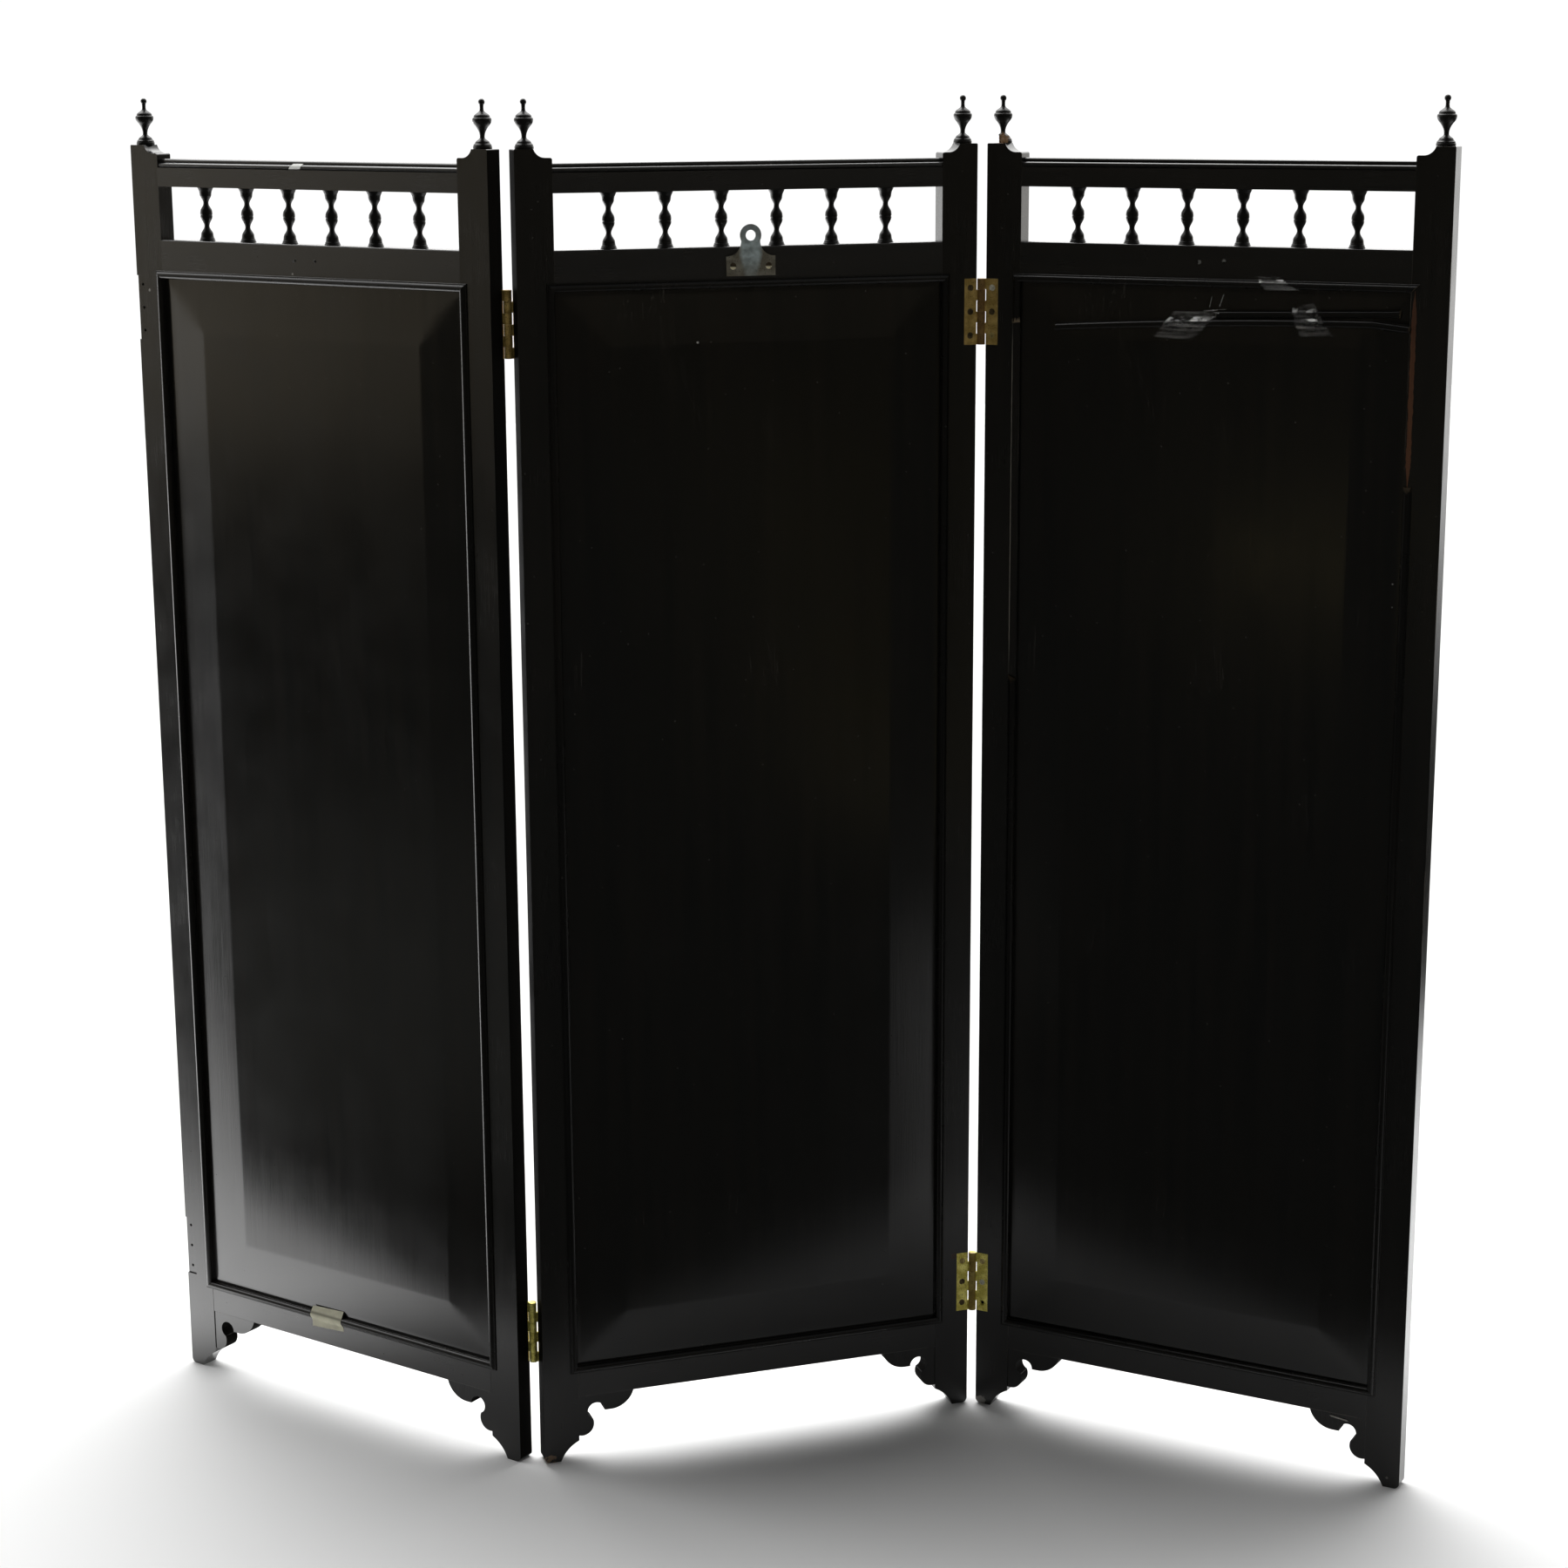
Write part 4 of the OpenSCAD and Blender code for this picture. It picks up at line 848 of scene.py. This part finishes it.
SPLIT_FOOT = ((FINIAL_X + 0.002, 0.003, LEAF_H + 0.004), 0.0085, (0.20, 0.115, 0.055))
for leaf in LEAVES:
    material = turned_material(f"ebonised_{leaf}_turned", leaf)
    spindle = with_pegs(spindle_profile() * [SPINDLE_R, GALLERY_H], -SPINDLE_PEG,
                        GALLERY_H + SPINDLE_PEG)
    places = STILE_W + (LEAF_W - 2 * STILE_W) * np.arange(1, SPINDLES + 1) / (SPINDLES + 1)
    spindles = new_piece(
        f"{leaf}_turned_spindles",
        *joined_tubes([turned_piece(leaf, u, GALLERY_Z, spindle) for u in places]),
        [material], TURNED_SMOOTH)
    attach(spindles, f"{leaf}_leaf")
    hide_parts(f"{leaf}_spindles")
    for side, u in (("left", FINIAL_X), ("right", LEAF_W - FINIAL_X)):
        split = (leaf, side) == ("right", "left")
        if split:
            material = turned_material("split_finial", leaf, [SPLIT_FOOT])
        finial = new_piece(
            f"{leaf}_turned_finial_{side}",
            *joined_tubes([turned_piece(leaf, u, LEAF_H, with_pegs(finial_profile(), -FINIAL_PEG),
                                        broken=split)]),
            [material], TURNED_SMOOTH)
        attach(finial, f"{leaf}_leaf")
        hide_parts(f"{leaf}_finial_{side}")

# Mirror plates: silvered glass with ground and polished bevels, set in the rebate
# behind the panels. The silvering has gone dark in spots along the edges.
PLATE_EDGE, PLATE_Z0, PLATE_Z1 = 0.036, 0.1135, 1.401
SILVER, FOXED = (0.84, 0.87, 0.86), (0.10, 0.085, 0.065)


def silvered_glass(name, leaf):
    """Bright metal under a smooth coat. The foxing is noise that gets stronger
    within 45 mm of the plate's edges."""
    material, tree, shader = principled(name)
    place = leaf_place(tree, leaf)
    u, _, z = place.parts()
    nearest = (u - PLATE_EDGE).least(LEAF_W - PLATE_EDGE - u).least(
        (z - PLATE_Z0).least(PLATE_Z1 - z))
    foxing = noise(place, 120.0, 6.0, 0.7) + nearest.ranged(0.008, 0.045, 0.30, 0)
    foxing = foxing.ranged(0.76, 0.84)
    set_inputs(shader, {"Base Color": foxing.mix(SILVER, FOXED),
                        "Roughness": foxing.ranged(0, 1, 0.02, 0.45),
                        "Metallic": 1.0, "Coat Weight": 1.0, "Coat Roughness": 0.01})
    return material


for leaf in LEAVES:
    node = f"{leaf}_mirror_plate"
    plate = merged_copy(node, f"{node}_glass")
    plate.data.materials.append(silvered_glass(f"silvered_glass_{leaf}", leaf))
    round_edges(plate, 0.0003, segments=1, angle=3, rubbed_slot=False)
    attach(plate, f"{leaf}_leaf")
    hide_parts(node)

# Butt hinges: cast brass, two flaps with three knuckles each on a loose pin, let
# into the wood. The metal has gone olive brown, and shines where it is rubbed.
BRASS = {  # dull, bright and dark tones; the lower hinges are yellower
    "lower": ((0.60, 0.52, 0.10), (0.95, 0.87, 0.26), (0.13, 0.095, 0.028)),
    "upper": ((0.33, 0.225, 0.058), (0.57, 0.40, 0.13), (0.065, 0.04, 0.016))}
KNUCKLE_BROWN = (0.15, 0.075, 0.028)


def aged_metal(name, leaf, dull, bright, dark, metallic=0.7, knuckles=0.0):
    """Metal under patina: clouds of dull and bright metal, and dark specks. What
    stands proud of the leaf, a hinge's knuckles, is browner."""
    material, tree, shader = principled(name)
    place = leaf_place(tree, leaf)
    pits = noise(place, 700.0, 3.0)
    shine = noise(place, 90.0, 6.0).ranged(0.42, 0.66)
    proud = abs(place.parts()[1] - LEAF_T / 2) - LEAF_T / 2
    colour = proud.ranged(0.001, 0.002, 0, knuckles).mix(shine.mix(dull, bright), KNUCKLE_BROWN)
    set_inputs(shader, {"Base Color": pits.ranged(0.56, 0.68, 0, 0.9).mix(colour, dark),
                        "Roughness": shine.ranged(0, 1, 0.5, 0.36), "Metallic": metallic,
                        "Normal": bumped(pits, 0.00008)})
    return material


for level, tones in BRASS.items():
    for leaf in LEAVES:
        material = aged_metal(f"{level}_hinge_brass_{leaf}", leaf, *tones, knuckles=0.75)
        for side in ("left", "right"):
            for part, body in (("flap_outer", f"{side}_leaf"), ("flap_centre", "centre_leaf"),
                               ("pin", "centre_leaf")):
                if body != f"{leaf}_leaf":
                    continue
                node = f"{side}_{level}_{part}"
                piece = merged_copy(node, f"{node}_brass")
                piece.data.materials.append(material)
                round_edges(piece, 0.0002, segments=1, rubbed_slot=False)
                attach(piece, body)
                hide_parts(node)

# Wood screws: countersunk and slotted. Each is turned home to its own angle; some are darker than
# the rest, and two on the right leaf are near white, a painted glint.
# Tones: brass, darker brass, and a near white silver that is a painted glint.
SCREW_TONES = (
    ((0.33, 0.25, 0.085), (0.62, 0.50, 0.22), (0.04, 0.03, 0.012)),
    ((0.055, 0.038, 0.017), (0.14, 0.10, 0.045), (0.010, 0.007, 0.004)),
    ((0.55, 0.53, 0.42), (0.92, 0.90, 0.78), (0.06, 0.05, 0.03)))
SCREW_NEAR = 0.004
# Leaf, place of the screw as (u, z), and its tone where it is not the first one
SCREWS_APART = (
    ("centre", 0.5375, 0.1620, 1), ("centre", 0.5375, 0.1346, 1), ("right", 0.0075, 0.1620, 2),
    ("centre", 0.5375, 1.3316, 1), ("centre", 0.5375, 1.3590, 1), ("centre", 0.5375, 1.3864, 1),
    ("right", 0.0075, 1.3864, 2), ("right", 0.0075, 1.3590, 1), ("left", 0.5375, 1.3590, 1))


def hanging_together(mesh):
    """One label for each group of vertices that edges join."""
    label = np.arange(len(mesh.vertices))
    edges = np.array([edge.vertices[:] for edge in mesh.edges])
    while True:
        lower = label.copy()
        np.minimum.at(lower, edges[:, 0], label[edges[:, 1]])
        np.minimum.at(lower, edges[:, 1], label[edges[:, 0]])
        if (lower == label).all():
            return label
        label = lower


def turn_screws(piece, leaf, seed):
    """Turns each screw about its own axis, which runs along the leaf's y, and picks
    its tone by its place."""
    angle, pin, drawn = LEAVES[leaf]
    axis = np.array([-sin(angle), cos(angle), 0.0])
    mesh = piece.data
    points = np.array([vertex.co[:] for vertex in mesh.vertices])
    label = hanging_together(mesh)
    draw = np.random.default_rng(seed)
    tone = {}
    for one in np.unique(label):
        part = label == one
        centre = (points[part].min(axis=0) + points[part].max(axis=0)) / 2
        spin = np.array(Matrix.Rotation(draw.uniform(0, pi), 3, Vector(axis)))
        points[part] = (points[part] - centre) @ spin.T + centre
        u = (centre[0] - pin[0]) * cos(angle) + (centre[1] - pin[1]) * sin(angle) + drawn[0]
        tone[one] = max([0] + [
            kind for where, at_u, at_z, kind in SCREWS_APART
            if where == leaf and max(abs(u - at_u), abs(centre[2] - at_z)) < SCREW_NEAR])
    mesh.vertices.foreach_set("co", points.ravel())
    for face in mesh.polygons:
        face.material_index = tone[label[face.vertices[0]]]
    mesh.update()


HANGER_SCREW_Z = 1.4180
# Painted light on the hanger's screw heads: a dark tone above and a glint below.
SCREW_DARK, SCREW_GLINT = (0.05, 0.036, 0.018), (0.80, 0.74, 0.52)


def glint_below(material, leaf, height):
    """Dark above a height and bright under it, as on the hanger's screws: painted light, a dark
    painted reflection on the upper half of each head and a painted glint on the lower half.
    """
    z = leaf_place(material.node_tree, leaf).parts()[2]
    set_inputs(material.node_tree.nodes["Principled BSDF"], {
        "Base Color": z.ranged(height - 0.0014, height, 1, 0).mix(SCREW_DARK, SCREW_GLINT)})


for seed, (node, leaf) in enumerate((
        ("left_leaf_screws", "left"), ("centre_leaf_screws", "centre"),
        ("right_leaf_screws", "right"), ("hanger_screws", "centre"))):
    piece = merged_copy(node, f"{node}_brass")
    for i, tones in enumerate(SCREW_TONES):
        material = aged_metal(f"{node}_tone_{i}", leaf, *tones)
        if node == "hanger_screws":
            glint_below(material, leaf, HANGER_SCREW_Z)
        piece.data.materials.append(material)
    turn_screws(piece, leaf, seed)
    round_edges(piece, 0.00012, segments=1, rubbed_slot=False)
    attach(piece, f"{leaf}_leaf")
    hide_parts(node)

# Hanger plate: sheet steel with an eye, screwed to the centre leaf's mid rail. Its
# base has a brown patina, and the tongue in its middle is a light blue grey.
HANGER_U, TONGUE_HALF = 0.2705, 0.0095
PLATE_BROWNS = ((0.085, 0.075, 0.050), (0.14, 0.13, 0.10), (0.02, 0.017, 0.012))
TONGUE_GREYS = ((0.14, 0.165, 0.16), (0.28, 0.33, 0.325))
EYE_GREY = (0.12, 0.13, 0.128)


def hanger_steel():
    """The brown base; the tongue's mask narrows and fades down the base."""
    material = aged_metal("hanger_steel", "centre", *PLATE_BROWNS, 0.3)
    tree = material.node_tree
    shader = tree.nodes["Principled BSDF"]
    brown = Field(tree, shader.inputs["Base Color"].links[0].from_socket)
    place = leaf_place(tree, "centre")
    u, _, z = place.parts()
    away = abs(u - HANGER_U) + z.ranged(1.409, 1.430, 0.005, 0)
    tongue = (away.ranged(TONGUE_HALF, TONGUE_HALF + 0.005, 1, 0)
              * z.ranged(1.409, 1.428, 0.35, 1))
    grey = noise(place, 130.0, 3.0).ranged(0.35, 0.65).mix(*TONGUE_GREYS)
    grey = z.ranged(1.446, 1.452, 0, 0.6).mix(grey, EYE_GREY)
    set_inputs(shader, {"Base Color": tongue.mix(brown, grey)})
    return material


plate = merged_copy("hanger_plate", "hanger_plate_steel")
plate.data.materials.append(hanger_steel())
round_edges(plate, 0.00025, rubbed_slot=False)
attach(plate, "centre_leaf")
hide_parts("hanger_plate")

# Loose beads: the two broken lengths, taped across the upper bevel of the right
# panel. The long one is a little bowed, and its far end hangs down.
BEVEL_RISE = 3.5 / 57
LOOSE_TILT = radians(1.8)
DROOP_FROM, DROOP = 0.375, 0.11
# Length, start (u, y, z of the outer edge), lean out of the bevel, and the bow's terms
LOOSE = ((0.418, (0.086, 0.0015167, 1.3510), -0.003987, (-0.0017, 0.03941, 0.08515)),
         (0.212, (0.280, 0.002628, 1.3691), 0.00193, (0.0, 0.0, 0.0)))


def loose_length(length, start, lean, bow, seed):
    """The bead's section carried along a line on the bevel. Its height over the line
    is a + b s - c s^2 at the distance s, less a straight droop near the end."""
    section = bead_section()
    inset, depth = section[:, 0], section[:, 1]
    jag = 0.0025 * np.random.default_rng(seed).uniform(0, 1, (2, len(inset)))
    s = jag[0] + (length - jag[0] - jag[1]) * np.linspace(0, 1, 60)[:, None]
    rise = bow[0] + bow[1] * s - bow[2] * s ** 2 - DROOP * np.maximum(s - DROOP_FROM, 0)
    slope = np.arctan(BEVEL_RISE)
    return on_leaf(
        "right", start[0] + s * cos(LOOSE_TILT),
        start[1] + lean * s + BEVEL_RISE * rise + depth * cos(slope) - inset * sin(slope),
        start[2] + s * sin(LOOSE_TILT) + rise - inset * cos(slope) - depth * sin(slope))


material = ebonised_wood("ebonised_loose_bead", "right", grain_across=True, gloss=0.2,
                         coat=0.0, bump=0.000015, ior=1.34)
loose = new_piece(
    "right_loose_bead_lengths",
    *joined_tubes([loose_length(*length, seed) for seed, length in enumerate(LOOSE)]),
    [material,
     raw_wood("broken_loose_bead", "right", (0.028, 0.021, 0.012), (0.07, 0.053, 0.033),
              grain_across=True)], BEAD_SMOOTH)
mark_ends(loose)
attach(loose, "right_leaf")
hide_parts("right_loose_beads")

# Marks left by the lost beads: a bare torn strip on the right stile, a thin line of
# old glue on the left one, torn fibres by the tape, and a pale split in a bracket.
FLAKE = (-0.00005, 0.0002)


def torn_strip(start, end, width, depth, ragged, rows=90):
    """A thin flake let into a face of the right leaf: its two edges wander from a
    straight line."""
    draw = np.random.default_rng(3)
    along = np.linspace(0, 1, rows)[:, None]
    step = np.array([end[0] - start[0], end[1] - start[1]])
    across = np.array([step[1], -step[0]]) / np.hypot(*step)
    half = width / 2 * np.array([-1.0, 1.0]) + ragged * draw.uniform(-1, 1, (rows, 2))
    half = half * np.clip(8 * np.minimum(along, 1 - along), 0.1, 1)
    u = start[0] + step[0] * along + across[0] * half
    z = start[1] + step[1] * along + across[1] * half
    y = depth(z)
    return closed_plate(*(on_leaf("right", u, y + deeper, z) for deeper in FLAKE))


def flat_face(z):
    return 0 * z


def upper_bevel(z):
    return PANEL_FRONT + BEVEL_RISE * (z - 1.332)


WISP = ((0.06, 0.06, 0.055), (0.22, 0.22, 0.21))
for name, start, end, width, depth, ragged, (dark, light) in (
        ("torn_strip", (0.5063, 1.181), (0.5066, 1.396), 0.0054, flat_face, 0.0006,
         ((0.030, 0.014, 0.008), (0.085, 0.034, 0.014))),
        ("glue_line", (0.0339, 0.931), (0.0339, 1.349), 0.0008, flat_face, 0.0001,
         ((0.06, 0.055, 0.045), (0.13, 0.12, 0.10))),
        ("bracket_split", (0.4575, 0.0765), (0.4815, 0.0735), 0.0018, flat_face, 0.0002,
         ((0.20, 0.19, 0.17), (0.42, 0.41, 0.38))),
        ("wisp_near", (0.2715, 1.3715), (0.2740, 1.3840), 0.0006, upper_bevel, 0.0004, WISP),
        ("wisp_far", (0.2830, 1.3720), (0.2880, 1.3870), 0.0007, upper_bevel, 0.0005, WISP),
        ("wisp_flat", (0.2640, 1.3675), (0.2920, 1.3700), 0.0008, upper_bevel, 0.0006,
         ((0.10, 0.10, 0.095), (0.38, 0.38, 0.36)))):
    strip = new_piece(f"right_{name}", *torn_strip(start, end, width, depth, ragged),
                      [raw_wood(f"right_{name}_surface", "right", dark, light)])
    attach(strip, "right_leaf")

# Tape and labels: three bits of clear tape hold the loose lengths, a paper label
# sticks over the left bottom bead, and a scrap of one is left on the left capping.
TAPE_THICK, TAPE_WRINKLE = 0.00008, 0.00003
SHEET_SMOOTH, SHEET_GAP, SHEET_REACH = 80, 0.00003, 0.03
# The second grey is painted shade, laid in a thin band along each label's crease.
TAPE_GREY, CREASE_SHADE = (0.42, 0.42, 0.40), (0.14, 0.135, 0.095)
# Corners as (u, z): top left, top right, bottom right, bottom left
TAPES = {"near": ((0.2300, 1.3665), (0.2850, 1.3665), (0.2530, 1.3355), (0.2070, 1.3365)),
         "far": ((0.3680, 1.3735), (0.3920, 1.3800), (0.4150, 1.3445), (0.3780, 1.3435)),
         "rail": ((0.3260, 1.4080), (0.3500, 1.4085), (0.3760, 1.3935), (0.3380, 1.3925))}


def draped(leaf, corners, carriers, slope, thick, wrinkle=0.0, count=44):
    """A sheet over four corners, let down along y onto the carriers. It bridges
    hollows: no point lies deeper than the slope from any other point allows."""
    top_left, top_right, low_right, low_left = (np.array(corner) for corner in corners)
    i, j = (part[..., None] for part in np.meshgrid(*[np.linspace(0, 1, count)] * 2))
    place = ((1 - j) * ((1 - i) * top_left + i * top_right)
             + j * ((1 - i) * low_left + i * low_right))
    u, z = place[..., 0], place[..., 1]
    starts = on_leaf(leaf, u, -SHEET_REACH, z).reshape(-1, 3)
    inwards = Vector((on_leaf(leaf, 0, 1, 0) - on_leaf(leaf, 0, 0, 0)).ravel())
    trees = [BVHTree.FromPolygons([vertex.co for vertex in piece.data.vertices],
                                  [face.vertices for face in piece.data.polygons])
             for piece in carriers]
    deep = np.full(len(starts), SHEET_REACH)
    for tree in trees:
        for k, start in enumerate(starts):
            away = tree.ray_cast(Vector(start), inwards)[3]
            if away is not None:
                deep[k] = min(deep[k], away - SHEET_REACH)
    flat = place.reshape(-1, 2)
    apart = np.linalg.norm(flat[:, None] - flat[None], axis=-1)
    deep = (deep[None] + slope * apart).min(axis=1).reshape(u.shape)
    deep = deep - SHEET_GAP - wrinkle * (1 + np.sin(700 * z + 190 * u + 3 * np.sin(160 * u)))
    return closed_plate(on_leaf(leaf, u, deep - thick, z), on_leaf(leaf, u, deep, z))


def clear_tape(name, leaf):
    """Clear film: nearly all of the light goes through where it lies flat, there are pale streaks
    along its pull, and where it bends upwards it is made more opaque and grey in broken patches, a
    painted glint."""
    material, tree, shader = principled(name)
    place = leaf_place(tree, leaf)
    pull = noise(place, (18.0, 18.0, 330.0), 4.0)
    upwards = field(tree, "NewGeometry", "Normal").parts()[2]
    # Painted glint: the film is made more opaque where it faces upwards.
    painted_glint = (upwards.ranged(0.45, 0.72, 0, 0.8)
            * noise(place, 75.0).ranged(0.47, 0.60, 0.03, 1))
    set_inputs(shader, {"Base Color": TAPE_GREY, "Coat Weight": 1.0,
                        "Alpha": pull.ranged(0.50, 0.68, 0.022, 0.14).most(painted_glint),
                        "Roughness": pull.ranged(0.4, 0.7, 0.12, 0.3),
                        "Normal": bumped(pull, 0.0002)})
    return material


def label_paper(name, leaf, clean, dirty, crease):
    """Creped paper: fine ribs across it, dirt in clouds, and painted shade in a thin band at the
    height where it dips beside the bead."""
    material, tree, shader = principled(name)
    place = leaf_place(tree, leaf)
    ribs = noise(place, (900.0, 900.0, 120.0))
    away = abs(place.parts()[2] - crease)
    colour = noise(place, 60.0, 5.0).ranged(0.35, 0.7).mix(clean, dirty)
    # Painted shade: a dark band along the crease.
    colour = away.ranged(0.0004, 0.0022, 0.75, 0).mix(colour, CREASE_SHADE)
    set_inputs(shader, {"Base Color": colour, "Roughness": ribs.ranged(0.3, 0.7, 0.5, 0.75),
                        "Normal": bumped(ribs, 0.0001)})
    return material


parts = {piece.name: piece for piece in scene.objects}
holders = [parts[name] for name in ("right_back_panel_fielded", "right_panel_bead_strips",
                                    "right_loose_bead_lengths", "right_mid_rail_wood")]
tape_film = clear_tape("clear_tape", "right")
for name, corners in TAPES.items():
    sheet = draped("right", corners, holders, 1.0, TAPE_THICK, TAPE_WRINKLE)
    tape = new_piece(f"clear_tape_{name}", *sheet, [tape_film], SHEET_SMOOTH)
    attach(tape, "right_leaf")
for name, corners, holders, slope, thick, tones in (
        ("paper_label", ((0.2150, 0.1265), (0.2645, 0.1285), (0.2665, 0.1035), (0.2150, 0.1000)),
         ("left_back_panel_fielded", "left_panel_bead_strips", "left_bottom_rail_wood"),
         0.7, 0.00015, ((0.60, 0.585, 0.44), (0.46, 0.44, 0.33), 0.1195)),
        ("label_scrap", ((0.2560, 1.5310), (0.2715, 1.5310), (0.2680, 1.5246), (0.2500, 1.5240)),
         ("left_top_rail_wood",), 1.2, 0.00012,
         ((0.80, 0.80, 0.77), (0.62, 0.62, 0.58), 1.5200))):
    holders = [parts[holder] for holder in holders]
    label = new_piece(name, *draped("left", corners, holders, slope, thick),
                      [label_paper(f"{name}_paper", "left", *tones)], SHEET_SMOOTH)
    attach(label, "left_leaf")
